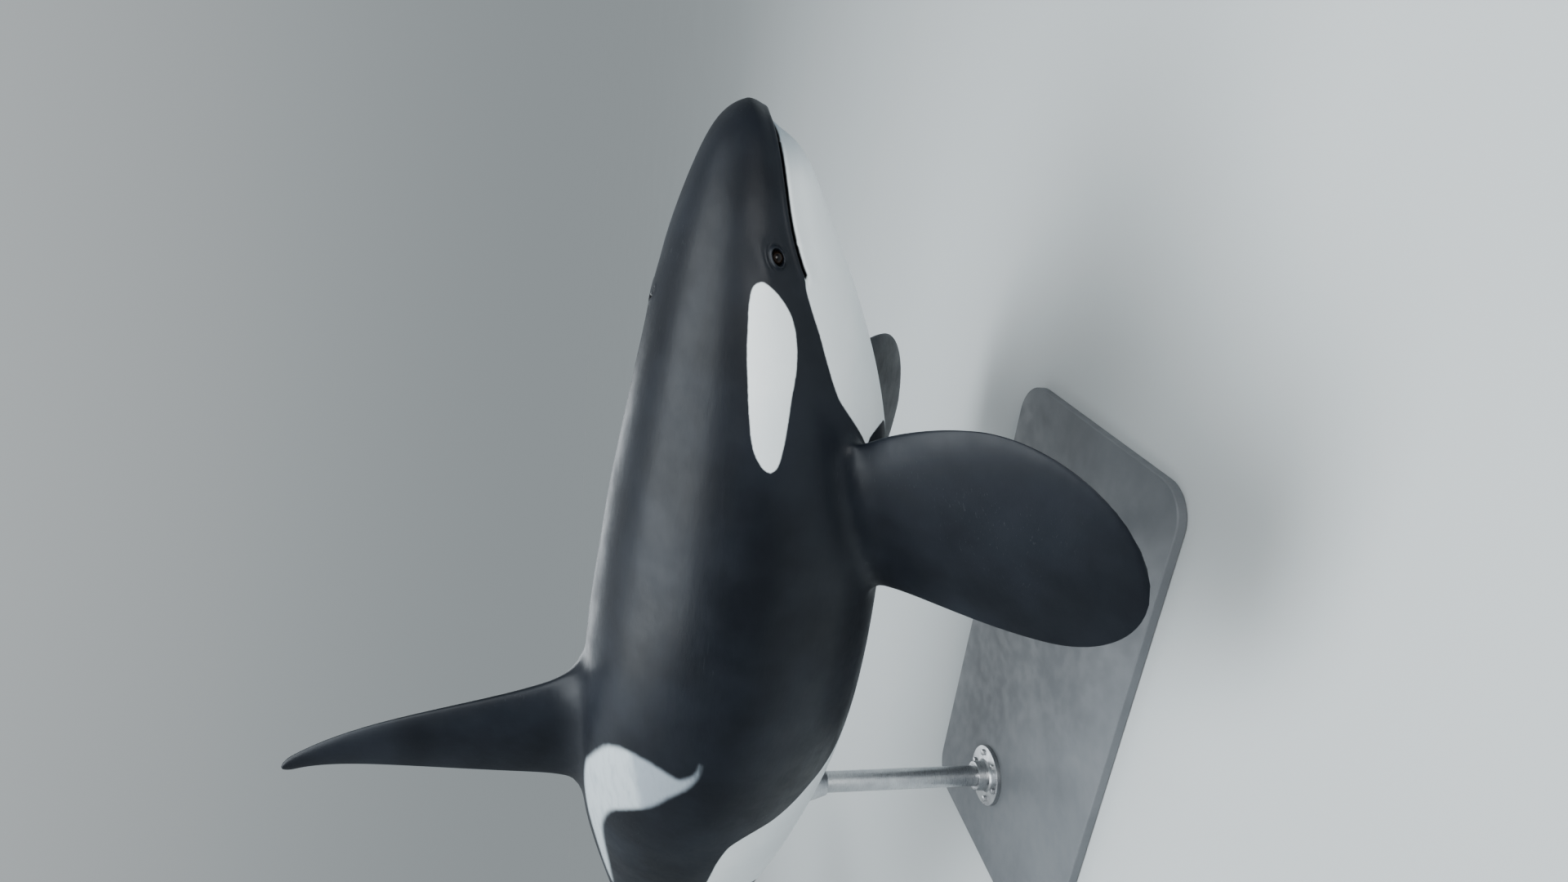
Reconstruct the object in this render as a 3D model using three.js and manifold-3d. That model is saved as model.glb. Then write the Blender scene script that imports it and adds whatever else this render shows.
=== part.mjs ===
// A life-size orca, an adult male, swimming level with its head a little raised and its tail
// turned to its left, held on a plain display stand.
// Millimetres. +X runs toward the head, +Z is up, +Y is the animal's left.
// The origin is the middle of the underside of the stand's base.
import * as THREE from 'three';
import { mergeVertices } from 'three/addons/utils/BufferGeometryUtils.js';
import Module from 'manifold-3d';

const wasm = await Module();
wasm.setup();

// Body: lengths are measured along the spine from the tip of the snout to the notch of the flukes
const BODY_LENGTH = 6600;
const SPINE_HEIGHT = 1700; // height of the spine over the floor where it passes the origin
const ORIGIN_STATION = 2640; // the length along the spine that stands over the origin
const HEAD_LIFT = THREE.MathUtils.degToRad(14.5); // upward tilt at the snout
const HEAD_LIFT_END = 1980; // where the lift has faded out
const TAIL_TURN = THREE.MathUtils.degToRad(24); // turn of the tail to the left
const TAIL_TURN_START = 660;
const TAIL_TURN_END = 5940;
const SNOUT_DROP = 53; // the tip of the snout lies this far below the spine
const SNOUT_DROP_END = 528;
const BODY_END = 6545; // the tail stock fades out just before the notch
const KEEL_START = 4300; // behind here the back and belly narrow to keels
const KEEL_FULL = 5600;
const KEEL_SHARPNESS = 0.55;

// Depth of the back and the belly from the spine, and half the breadth, at stations along it
const BODY_PROFILE = [
  { at: 0, back: 0, belly: 0, side: 0 },
  { at: 53, back: 118, belly: 70, side: 139 },
  { at: 198, back: 216, belly: 200, side: 238 },
  { at: 462, back: 325, belly: 319, side: 362 },
  { at: 858, back: 457, belly: 446, side: 475 },
  { at: 1320, back: 562, belly: 562, side: 568 },
  { at: 1980, back: 645, belly: 625, side: 624 },
  { at: 2640, back: 680, belly: 640, side: 608 },
  { at: 3300, back: 664, belly: 572, side: 517 },
  { at: 3960, back: 548, belly: 474, side: 378 },
  { at: 4620, back: 400, belly: 360, side: 246 },
  { at: 5280, back: 278, belly: 252, side: 153 },
  { at: 5940, back: 180, belly: 170, side: 96 },
  { at: 6600, back: 34, belly: 34, side: 30 },
];

// Faceting of the solids
const BODY_RINGS = 60;
const BODY_SIDES = 40;
const FIN_ROWS = 14;
const FIN_SIDES = 18;
const FIN_FULLNESS = 2.49; // brings the thickest place of a fin's section to its stated thickness

// The side that each name stands for, as a sign along the body's left
const SIDES = { left: 1, right: -1 };

// Gap between solids that touch, and the cuts between the named parts
const GAP = 0.3;
const NECK_CUT = 1190;
const TAIL_CUT = 4090;

// Mouth: a line along the side of the head, given by its height against the spine
const MOUTH_TIP_HEIGHT = -129;
const MOUTH_MIDDLE = 450;
const MOUTH_MIDDLE_HEIGHT = -112;
const GAPE = 594; // the corner of the mouth
const GAPE_HEIGHT = -134;
const JAW_HINGE = 860; // where the throat end of the jaw part meets the belly line
const LIP_GROOVE = 13;
const LIP_GROOVE_PAST = 24; // the groove runs this far past the corner
const MOUTH_STEPS = 7;
const LIP_DEPTH = 13;

// Eye, lids and blowhole
const EYE_STATION = 520;
const EYE_GIRTH = THREE.MathUtils.degToRad(-6.5); // angle round the body from the widest line
const EYE_RADIUS = 31;
const EYE_SUNK = 22;
const LID_RADIUS = 27;
const LID_THICKNESS = 9;
const LID_STRETCH = 1.35;
const BLOWHOLE_STATION = 715;
const BLOWHOLE_RADIUS = 62;
const BLOWHOLE_WIDTH = 13;
const BLOWHOLE_ARC = THREE.MathUtils.degToRad(74); // half of the crescent's sweep
const BLOWHOLE_DEPTH = 18;
const BLOWHOLE_OFFSET = 18; // to the left of the midline

// Dorsal fin
const FIN_FRONT = 2615;
const FIN_REAR = 3352;
const FIN_FOOT = 560; // the height over the spine where the sunk root begins
const FIN_BACK_HEIGHT = 675; // height of the back at the fin
const FIN_HEIGHT = 1368; // from the back to the tip
const FIN_LEAD_SWEEP = 402;
const FIN_LEAD_HOOK = 176;
const FIN_LEAD_HOOK_POWER = 5;
const FIN_TRAIL_SWEEP = -198;
const FIN_TRAIL_HOOK = 112;
const FIN_THICKNESS = 74; // half thickness over the root flare
const FIN_TIP_THICKNESS = 9;
const FIN_TIP_ROUND = 0.04; // share of the height over which the tip is rounded off
const FIN_FLARE = { length: 55, thickness: 26 }; // swelling of the root where it meets the back
const FIN_FLARE_RISE = 0.045; // share of the height over which the swelling fades

// Flippers: broad paddles held out, a little forward and down
const FLIPPER_STATION = 1544;
const FLIPPER_GIRTH = THREE.MathUtils.degToRad(-43.5);
const FLIPPER_LENGTH = 1165;
const FLIPPER_WIDTH = 912;
const FLIPPER_ROOT_SHARE = 0.72; // width at the root against the widest
const FLIPPER_WIDEST = 0.58; // place of the widest part along the length
const FLIPPER_SWEEP = 66; // how far the tip lies behind the root's middle
const FLIPPER_DOWN = { left: THREE.MathUtils.degToRad(38), right: THREE.MathUtils.degToRad(30.5) };
const FLIPPER_FORWARD = { left: THREE.MathUtils.degToRad(-8), right: THREE.MathUtils.degToRad(23) };
const FLIPPER_TWIST = { left: 0, right: THREE.MathUtils.degToRad(19) };
const FLIPPER_THICKNESS = 62;
const FLIPPER_TIP_THICKNESS = 11;
const FLIPPER_FLARE = 18; // the root swells by this much where it meets the body
const FLIPPER_FLARE_FADE = 0.1; // share of the length over which the swelling fades
const FLIPPER_SUNK = 260; // how far the root reaches inside before it is cut to the body

// Flukes
const FLUKE_FRONT = 5900;
const FLUKE_SPAN = 925; // from the midline to one tip
const FLUKE_TIP_LEAD = 6650;
const FLUKE_TRAIL = 6650; // the rear edge beside the notch
const FLUKE_TRAIL_WAVE = 26; // the rear edge swells near the notch and hollows toward the tip
const FLUKE_NOTCH_DEPTH = 70;
const FLUKE_NOTCH_WIDTH = 85;
const FLUKE_CURL = 95; // the tips curl down
const FLUKE_THICKNESS = 52;
const FLUKE_TIP_THICKNESS = 8;
const FLUKE_FLARE = 22; // swelling of the root where it meets the tail stock
const FLUKE_FLARE_FADE = 70;
const FLUKE_STRAIGHT = 0.72; // share of the front edge's sweep that is even along the span
const FLUKE_HOOK_POWER = 3.2; // the rest of it comes in toward the tip
const FLUKE_WAVES = 1.9; // the rear edge's wave runs through almost two halves
const FLUKE_TIP_POWER = 5;
const FLUKE_CURL_POWER = 2.6;
const FLUKE_TIP_LENGTH = 12; // length of the blunt end of a tip

// The last row of a fin stops at this share of its length, and a point closes it
const LAST_ROW = 0.995;

// Size of the blocks that cut the jaw and the blowhole, all larger than the head
const BLOCK_BREADTH = 1600;
const BLOCK_DEPTH = 620;
const BLOCK_AHEAD = 200;
const SLOT_LENGTH = 400;

// Display stand
const BASE_LENGTH = 2700;
const BASE_WIDTH = 1500;
const BASE_THICKNESS = 50;
const BASE_CORNER = 180;
const BASE_BEVEL = 8;
const ROD_RADIUS = 57;
const ROD_SIDES = 32;
const ROD_STATIONS = { front: 1760, rear: 3520 };
const FLANGE_RADIUS = 165;
const FLANGE_THICKNESS = 24;
const FLANGE_COLLAR_RADIUS = 84;
const FLANGE_COLLAR_TOP = 78; // its radius at the upper end
const FLANGE_COLLAR_HEIGHT = 90;
const BOLT_CIRCLE = 128;
const BOLT_COUNT = 6;
const BOLT_RADIUS = 17;
const BOLT_HEIGHT = 13;
const SLEEVE_RADIUS = 96;
const SLEEVE_HEIGHT = 130;
const SLEEVE_TAPER = 0.72;
const SLEEVE_RIM = 34; // the straight stretch that meets the belly
const SUNK_END = 60; // rods and sleeves are made this much longer, then cut to the belly

const BLACK_SKIN = { color: 0x10141b, roughness: 0.42, metalness: 0 };
const WHITE_SKIN = { color: 0xe9eef0, roughness: 0.45, metalness: 0 };
const EYE_BROWN = { color: 0x1a1210, roughness: 0.08, metalness: 0 };
const BASE_PAINT = { color: 0x8d9296, roughness: 0.6, metalness: 0.1 };
const STEEL = { color: 0x9da2a6, roughness: 0.32, metalness: 1 };

// Smooth step from 0 to 1 between 0 and 1
function ease(x) {
  const t = THREE.MathUtils.clamp(x, 0, 1);
  return t * t * (3 - 2 * t);
}

// Natural cubic curve through the given points
function spline(xs, ys) {
  const n = xs.length;
  const bend = new Array(n).fill(0);
  const carry = new Array(n).fill(0);
  for (let i = 1; i < n - 1; i++) {
    const share = (xs[i] - xs[i - 1]) / (xs[i + 1] - xs[i - 1]);
    const pivot = share * bend[i - 1] + 2;
    const rise = (ys[i + 1] - ys[i]) / (xs[i + 1] - xs[i]) - (ys[i] - ys[i - 1]) / (xs[i] - xs[i - 1]);
    bend[i] = (share - 1) / pivot;
    carry[i] = (6 * rise / (xs[i + 1] - xs[i - 1]) - share * carry[i - 1]) / pivot;
  }
  bend[n - 1] = 0;
  for (let i = n - 2; i >= 0; i--) bend[i] = bend[i] * bend[i + 1] + carry[i];
  return (x) => {
    let i = 0;
    while (i < n - 2 && x > xs[i + 1]) i++;
    const width = xs[i + 1] - xs[i];
    const a = (xs[i + 1] - x) / width;
    const b = 1 - a;
    const curve = ((a ** 3 - a) * bend[i] + (b ** 3 - b) * bend[i + 1]) * width * width / 6;
    return a * ys[i] + b * ys[i + 1] + curve;
  };
}

// The profile is smooth against the root of the length, which rounds the snout
const rootLengths = BODY_PROFILE.map((row) => Math.sqrt(row.at));
const backCurve = spline(rootLengths, BODY_PROFILE.map((row) => row.back));
const bellyCurve = spline(rootLengths, BODY_PROFILE.map((row) => row.belly));
const sideCurve = spline(rootLengths, BODY_PROFILE.map((row) => row.side));

// Direction of the spine toward the tail, and the frame round it, at a station
function heading(at) {
  const yaw = TAIL_TURN * ease((at - TAIL_TURN_START) / (TAIL_TURN_END - TAIL_TURN_START));
  const pitch = -HEAD_LIFT * (1 - ease(at / HEAD_LIFT_END));
  const forward = new THREE.Vector3(Math.cos(pitch) * Math.cos(yaw), -Math.cos(pitch) * Math.sin(yaw),
    -Math.sin(pitch));
  const left = new THREE.Vector3(Math.sin(yaw), Math.cos(yaw), 0);
  const up = new THREE.Vector3().crossVectors(forward, left);
  return { forward, left, up };
}

// Points of the spine, summed in short steps and shifted so that it passes over the origin
const SPINE_STEP = 20;
const spinePoints = [new THREE.Vector3()];
for (let at = 0; at < BODY_LENGTH + 200; at += SPINE_STEP) {
  const middle = heading(at + SPINE_STEP / 2).forward;
  spinePoints.push(spinePoints.at(-1).clone().addScaledVector(middle, -SPINE_STEP));
}
const spineShift = spinePoints[ORIGIN_STATION / SPINE_STEP].clone().negate();
spineShift.z += SPINE_HEIGHT;
for (const point of spinePoints) point.add(spineShift);

function spineAt(at) {
  const step = THREE.MathUtils.clamp(at / SPINE_STEP, 0, spinePoints.length - 1.001);
  const i = Math.floor(step);
  return spinePoints[i].clone().lerp(spinePoints[i + 1], step - i);
}

// A point given by its station, its distance to the left and its height over the spine
function place(at, left, height) {
  const frame = heading(at);
  const beyond = Math.min(at, 0);
  return spineAt(at).addScaledVector(frame.forward, -beyond)
    .addScaledVector(frame.left, left).addScaledVector(frame.up, height);
}

// The skin at a station and an angle round the body: 0 is the left side, a quarter turn the back
function skin(at, angle, swell = 0) {
  const rootLength = Math.sqrt(Math.max(at, 0));
  const keel = 1 + KEEL_SHARPNESS * ease((at - KEEL_START) / (KEEL_FULL - KEEL_START));
  const drop = -SNOUT_DROP * (1 - ease(at / SNOUT_DROP_END));
  const rise = Math.sin(angle);
  const spread = Math.sign(Math.cos(angle)) * Math.abs(Math.cos(angle)) ** keel;
  const depth = rise > 0 ? backCurve(rootLength) : bellyCurve(rootLength);
  return place(at, (sideCurve(rootLength) + swell) * spread, (depth + swell) * rise + drop);
}

// A closed surface through rows of points, each row a loop, with a point at either end.
// With alike set, the second half of each loop is split as the mirror of the first.
function loft(rows, first, last, alike = false) {
  const sides = rows[0].length;
  const points = [first, ...rows.flat(), last];
  const positions = new Float32Array(points.length * 3);
  points.forEach((point, i) => point.toArray(positions, 3 * i));
  const index = [];
  const id = (row, side) => 1 + row * sides + (side % sides);
  for (let side = 0; side < sides; side++) {
    index.push(0, id(0, side + 1), id(0, side));
    index.push(points.length - 1, id(rows.length - 1, side), id(rows.length - 1, side + 1));
    for (let row = 0; row < rows.length - 1; row++) {
      const [a, b] = [id(row, side), id(row, side + 1)];
      const [c, d] = [id(row + 1, side), id(row + 1, side + 1)];
      if (alike && side >= sides / 2) index.push(a, b, c, b, d, c);
      else index.push(a, b, d, a, d, c);
    }
  }
  const geometry = new THREE.BufferGeometry();
  geometry.setAttribute('position', new THREE.BufferAttribute(positions, 3));
  geometry.setIndex(index);
  return geometry;
}

// A solid from a closed geometry, turned right side out
function solid(geometry) {
  const bare = geometry.clone();
  bare.deleteAttribute('normal');
  bare.deleteAttribute('uv');
  const merged = mergeVertices(bare, 1e-3);
  const at = merged.getAttribute('position').array;
  const faces = [];
  let volume = 0;
  for (let i = 0; i < merged.index.count; i += 3) {
    const [a, b, c] = [0, 1, 2].map((k) => merged.index.getX(i + k));
    if (a === b || b === c || c === a) continue;
    const [p, q, r] = [a, b, c].map((k) => new THREE.Vector3().fromArray(at, 3 * k));
    volume += p.dot(q.cross(r));
    faces.push([a, b, c]);
  }
  const triVerts = Uint32Array.from(faces.flatMap(([a, b, c]) => (volume < 0 ? [a, c, b] : [a, b, c])));
  return new wasm.Manifold(new wasm.Mesh({ numProp: 3, vertProperties: Float32Array.from(at), triVerts }));
}

// The largest closed body of a solid
function largest(whole) {
  const pieces = whole.decompose();
  return pieces.reduce((best, piece) => (piece.volume() > best.volume() ? piece : best));
}

const orca = new THREE.Group();

function addNode(name, shape, finish) {
  const { vertProperties, triVerts } = largest(shape).getMesh();
  const geometry = new THREE.BufferGeometry();
  geometry.setAttribute('position', new THREE.BufferAttribute(new Float32Array(vertProperties), 3));
  geometry.setIndex(new THREE.BufferAttribute(new Uint32Array(triVerts), 1));
  geometry.computeVertexNormals();
  const mesh = new THREE.Mesh(geometry, new THREE.MeshStandardMaterial(finish));
  mesh.name = name;
  orca.add(mesh);
}

// A flat outline in the plane of X and Z, made solid across the body
function crosswise(outline, breadth) {
  const shape = new THREE.Shape(outline.map((p) => new THREE.Vector2(p.x, p.z)));
  const geometry = new THREE.ExtrudeGeometry(shape, { depth: breadth, bevelEnabled: false });
  geometry.rotateX(Math.PI / 2);
  geometry.translate(0, breadth / 2, 0);
  return solid(geometry);
}

// The whole body without its fins, swollen or shrunk by a few millimetres
function bodySolid(swell = 0) {
  const rows = [];
  for (let i = 1; i <= BODY_RINGS; i++) {
    const at = BODY_END * (i / BODY_RINGS) ** 1.45;
    if (at < -2.2 * swell) continue;
    const row = [];
    for (let side = 0; side < BODY_SIDES; side++) row.push(skin(at, 2 * Math.PI * side / BODY_SIDES, swell));
    rows.push(row);
  }
  const snout = place(0, 0, -SNOUT_DROP).addScaledVector(heading(0).forward, swell);
  const stump = place(BODY_END + swell + 2, 0, 0);
  return solid(loft(rows, snout, stump));
}

// Keeps what lies ahead of a station, or behind it
function ahead(shape, at) {
  const normal = heading(at).forward;
  return shape.trimByPlane(normal.toArray(), normal.dot(spineAt(at)) + GAP / 2);
}

function behind(shape, at) {
  const normal = heading(at).forward.negate();
  return shape.trimByPlane(normal.toArray(), normal.dot(spineAt(at)) + GAP / 2);
}

// Height of the mouth line against the spine
const mouthHeight = spline([0, MOUTH_MIDDLE / 2, MOUTH_MIDDLE, GAPE],
  [MOUTH_TIP_HEIGHT, (MOUTH_TIP_HEIGHT + MOUTH_MIDDLE_HEIGHT) / 2, MOUTH_MIDDLE_HEIGHT, GAPE_HEIGHT]);

// Mouth line from ahead of the snout to the corner or past it, lowered by a given amount
function mouthLine(lower, past = 0) {
  const line = [];
  for (let i = -1; i <= MOUTH_STEPS; i++) {
    const at = (GAPE + past) * i / MOUTH_STEPS;
    line.push(place(at, 0, mouthHeight(Math.max(at, 0)) - lower));
  }
  return line;
}

function jawBlock(gap) {
  const hinge = place(JAW_HINGE - gap, 0, -BLOCK_DEPTH);
  const chin = place(-BLOCK_AHEAD, 0, -BLOCK_DEPTH);
  const line = mouthLine(gap);
  line.at(-1).addScaledVector(heading(GAPE).forward, gap);
  return crosswise([...line, hinge, chin], BLOCK_BREADTH);
}

function lipGroove(core) {
  const upper = mouthLine(-LIP_GROOVE / 2, LIP_GROOVE_PAST);
  const lower = mouthLine(LIP_GROOVE / 2, LIP_GROOVE_PAST).reverse();
  return crosswise([...upper, ...lower], BLOCK_BREADTH).subtract(core);
}

// Frame on the skin: its point, the way out, and the way forward along it
function skinFrame(at, angle) {
  const point = skin(at, angle);
  const along = skin(at - 5, angle).sub(skin(at + 5, angle)).normalize();
  const round = skin(at, angle + 0.01).sub(skin(at, angle - 0.01)).normalize();
  const out = new THREE.Vector3().crossVectors(along, round).normalize();
  if (out.dot(point.clone().sub(spineAt(at))) < 0) out.negate();
  return { point, along, out };
}

function eyeParts(angle) {
  const { point, along, out } = skinFrame(EYE_STATION, angle);
  const centre = point.clone().addScaledVector(out, -EYE_SUNK);
  const turn = new THREE.Matrix4().makeBasis(along, new THREE.Vector3().crossVectors(out, along), out);
  const ball = (radius) => {
    const geometry = new THREE.SphereGeometry(radius, 16, 10);
    return solid(geometry.translate(centre.x, centre.y, centre.z));
  };
  const lids = new THREE.TorusGeometry(LID_RADIUS, LID_THICKNESS, 7, 18);
  lids.scale(LID_STRETCH, 1, 1);
  lids.applyMatrix4(turn);
  lids.translate(point.x, point.y, point.z);
  return { ball: ball(EYE_RADIUS), socket: ball(EYE_RADIUS + GAP), lids: solid(lids) };
}

// Crescent slot of the blowhole, its horns pointing forward
function blowhole(core) {
  const shape = new THREE.Shape();
  const [inner, outer] = [BLOWHOLE_RADIUS - BLOWHOLE_WIDTH / 2, BLOWHOLE_RADIUS + BLOWHOLE_WIDTH / 2];
  shape.absarc(0, 0, outer, Math.PI - BLOWHOLE_ARC, Math.PI + BLOWHOLE_ARC, false);
  shape.absarc(0, 0, inner, Math.PI + BLOWHOLE_ARC, Math.PI - BLOWHOLE_ARC, true);
  const options = { depth: SLOT_LENGTH, bevelEnabled: false, curveSegments: 14 };
  const geometry = new THREE.ExtrudeGeometry(shape, options);
  const { point } = skinFrame(BLOWHOLE_STATION, Math.PI / 2);
  geometry.translate(point.x + BLOWHOLE_RADIUS, point.y + BLOWHOLE_OFFSET, point.z - SLOT_LENGTH / 2);
  return solid(geometry).subtract(core);
}

// Loop of a fin's section from its front edge over one face to its rear edge and back.
// The front edge is round, the rear edge thin, and the thickest place lies a third back.
function finLoop(front, rear, thickness, toPoint) {
  const loop = [];
  for (let side = 0; side < FIN_SIDES; side++) {
    const turn = 2 * Math.PI * side / FIN_SIDES;
    const share = (1 - Math.cos(turn)) / 2;
    const bulge = Math.sign(Math.sin(turn)) * Math.sqrt(share) * Math.max(1 - share, 0) ** 0.9;
    loop.push(toPoint(front + (rear - front) * share, thickness * FIN_FULLNESS * bulge));
  }
  return loop;
}

function dorsalFin() {
  const rows = [];
  for (let i = 0; i <= FIN_ROWS; i++) {
    const share = (i / FIN_ROWS) ** 0.85;
    const height = FIN_FOOT + (FIN_BACK_HEIGHT + FIN_HEIGHT * LAST_ROW - FIN_FOOT) * share;
    const rise = THREE.MathUtils.clamp((height - FIN_BACK_HEIGHT) / FIN_HEIGHT, 0, 1);
    const flare = Math.exp(-rise / FIN_FLARE_RISE);
    const lead = FIN_LEAD_SWEEP * rise ** 0.7 + FIN_LEAD_HOOK * rise ** FIN_LEAD_HOOK_POWER;
    const trail = FIN_TRAIL_SWEEP * rise ** 1.2 + FIN_TRAIL_HOOK * rise ** 8;
    const front = FIN_FRONT + lead - FIN_FLARE.length * flare;
    const rear = FIN_REAR + trail + FIN_FLARE.length * flare;
    const past = Math.max((rise - 1 + FIN_TIP_ROUND) / FIN_TIP_ROUND, 0);
    const cut = (rear - front) / 2 * (1 - Math.sqrt(1 - past * past));
    const taper = THREE.MathUtils.lerp(FIN_THICKNESS, FIN_TIP_THICKNESS, rise ** 0.8);
    const thickness = taper + FIN_FLARE.thickness * flare;
    rows.push(finLoop(front + cut, rear - cut, thickness, (at, side) => place(at, side, height)));
  }
  const tipFront = FIN_FRONT + FIN_LEAD_SWEEP + FIN_LEAD_HOOK;
  const tipRear = FIN_REAR + FIN_TRAIL_SWEEP + FIN_TRAIL_HOOK;
  const tipAt = (tipFront + tipRear) / 2;
  const tip = place(tipAt, 0, FIN_BACK_HEIGHT + FIN_HEIGHT);
  const foot = place((FIN_FRONT + FIN_REAR) / 2, 0, FIN_FOOT);
  return solid(loft(rows, foot, tip, true));
}

// Local directions of a flipper on one side: out along it, back across it, and off its face
function flipperFrame(name) {
  const side = SIDES[name];
  const { forward, left, up } = heading(FLIPPER_STATION);
  const level = Math.cos(FLIPPER_DOWN[name]);
  const span = left.clone().multiplyScalar(side * level * Math.cos(FLIPPER_FORWARD[name]))
    .addScaledVector(up, -Math.sin(FLIPPER_DOWN[name]))
    .addScaledVector(forward, level * Math.sin(FLIPPER_FORWARD[name]));
  const back = forward.clone().negate();
  back.addScaledVector(span, -back.dot(span)).normalize();
  back.applyAxisAngle(span, -side * FLIPPER_TWIST[name]);
  const face = new THREE.Vector3().crossVectors(span, back).multiplyScalar(-side);
  const angle = side > 0 ? FLIPPER_GIRTH : Math.PI - FLIPPER_GIRTH;
  return { root: skin(FLIPPER_STATION, angle), span, back, face };
}

function flipper(name) {
  const { root, span, back, face } = flipperFrame(name);
  const point = (along, across, off) => root.clone().addScaledVector(span, along)
    .addScaledVector(back, across).addScaledVector(face, off);
  const rows = [];
  for (let i = 0; i <= FIN_ROWS; i++) {
    const along = -FLIPPER_SUNK + (FLIPPER_LENGTH * LAST_ROW + FLIPPER_SUNK) * (i / FIN_ROWS) ** 0.8;
    const share = Math.max(along / FLIPPER_LENGTH, 0);
    const past = Math.max((share - FLIPPER_WIDEST) / (1 - FLIPPER_WIDEST), 0);
    const grow = Math.sin(Math.PI / 2 * Math.min(share / FLIPPER_WIDEST, 1));
    const fill = (FLIPPER_ROOT_SHARE + (1 - FLIPPER_ROOT_SHARE) * grow) * Math.sqrt(1 - past * past);
    const flare = Math.exp(-share / FLIPPER_FLARE_FADE);
    const half = FLIPPER_WIDTH / 2 * fill + FLIPPER_FLARE * flare;
    const middle = FLIPPER_SWEEP * share * share;
    const thickness = THREE.MathUtils.lerp(FLIPPER_THICKNESS, FLIPPER_TIP_THICKNESS, share ** 0.8)
      * (1 - past * past) ** 0.25 + FLIPPER_FLARE * flare;
    rows.push(finLoop(middle - half, middle + half, thickness, (across, off) => point(along, across, off)));
  }
  const tip = point(FLIPPER_LENGTH, FLIPPER_SWEEP, 0);
  return solid(loft(rows, point(-FLIPPER_SUNK, 0, 0), tip, true));
}

function fluke(name) {
  const side = SIDES[name];
  const rows = [];
  for (let i = 0; i <= FIN_ROWS; i++) {
    const share = (i / FIN_ROWS) ** 0.9 * LAST_ROW;
    const out = FLUKE_SPAN * share;
    const flare = Math.exp(-out / FLUKE_FLARE_FADE);
    const sweep = FLUKE_STRAIGHT * share + (1 - FLUKE_STRAIGHT) * share ** FLUKE_HOOK_POWER;
    const front = FLUKE_FRONT + (FLUKE_TIP_LEAD - FLUKE_FRONT) * sweep;
    const notch = FLUKE_NOTCH_DEPTH * Math.exp(-((out / FLUKE_NOTCH_WIDTH) ** 2));
    const edge = FLUKE_TRAIL + FLUKE_TRAIL_WAVE * Math.sin(Math.PI * Math.min(FLUKE_WAVES * share, 2));
    const blunt = FLUKE_TIP_LEAD + FLUKE_TIP_LENGTH;
    const rear = THREE.MathUtils.lerp(edge - notch, blunt, share ** FLUKE_TIP_POWER);
    const taper = THREE.MathUtils.lerp(FLUKE_THICKNESS, FLUKE_TIP_THICKNESS, share ** 0.7);
    const thickness = taper + FLUKE_FLARE * flare;
    const lift = -FLUKE_CURL * share ** FLUKE_CURL_POWER;
    rows.push(finLoop(front, rear, thickness, (at, off) => place(at, side * out, lift + off)));
  }
  const root = place((FLUKE_FRONT + FLUKE_TRAIL) / 2, 0, 0);
  const tip = place(FLUKE_TIP_LEAD + FLUKE_TIP_LENGTH / 2, side * FLUKE_SPAN, -FLUKE_CURL);
  const shape = solid(loft(rows, root, tip, true));
  const outward = heading(BODY_END).left.multiplyScalar(side);
  return shape.trimByPlane(outward.toArray(), outward.dot(spineAt(BODY_END)) + GAP / 2);
}

function upright(radius, height, x, y, z, sides = ROD_SIDES) {
  const geometry = new THREE.CylinderGeometry(radius, radius, height, sides);
  geometry.rotateX(Math.PI / 2);
  geometry.translate(x, y, z + height / 2);
  return solid(geometry);
}

// Turned ring round a rod, from rows of radius and height
function turnedRing(profile, x, y, z) {
  const points = profile.map(([radius, height]) => new THREE.Vector2(radius, height));
  const geometry = new THREE.LatheGeometry([...points, points[0]], ROD_SIDES);
  geometry.rotateX(Math.PI / 2);
  geometry.translate(x, y, z);
  return solid(geometry);
}

function baseSolid() {
  const shape = new THREE.Shape();
  const [x, y] = [BASE_LENGTH / 2 - BASE_BEVEL, BASE_WIDTH / 2 - BASE_BEVEL];
  const r = BASE_CORNER;
  shape.absarc(x - r, y - r, r, 0, Math.PI / 2, false);
  shape.absarc(r - x, y - r, r, Math.PI / 2, Math.PI, false);
  shape.absarc(r - x, r - y, r, Math.PI, 1.5 * Math.PI, false);
  shape.absarc(x - r, r - y, r, 1.5 * Math.PI, 2 * Math.PI, false);
  const geometry = new THREE.ExtrudeGeometry(shape, {
    depth: BASE_THICKNESS - 2 * BASE_BEVEL,
    bevelThickness: BASE_BEVEL,
    bevelSize: BASE_BEVEL,
    bevelSegments: 1,
    curveSegments: 6,
  });
  return solid(geometry.translate(0, 0, BASE_BEVEL));
}

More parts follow.
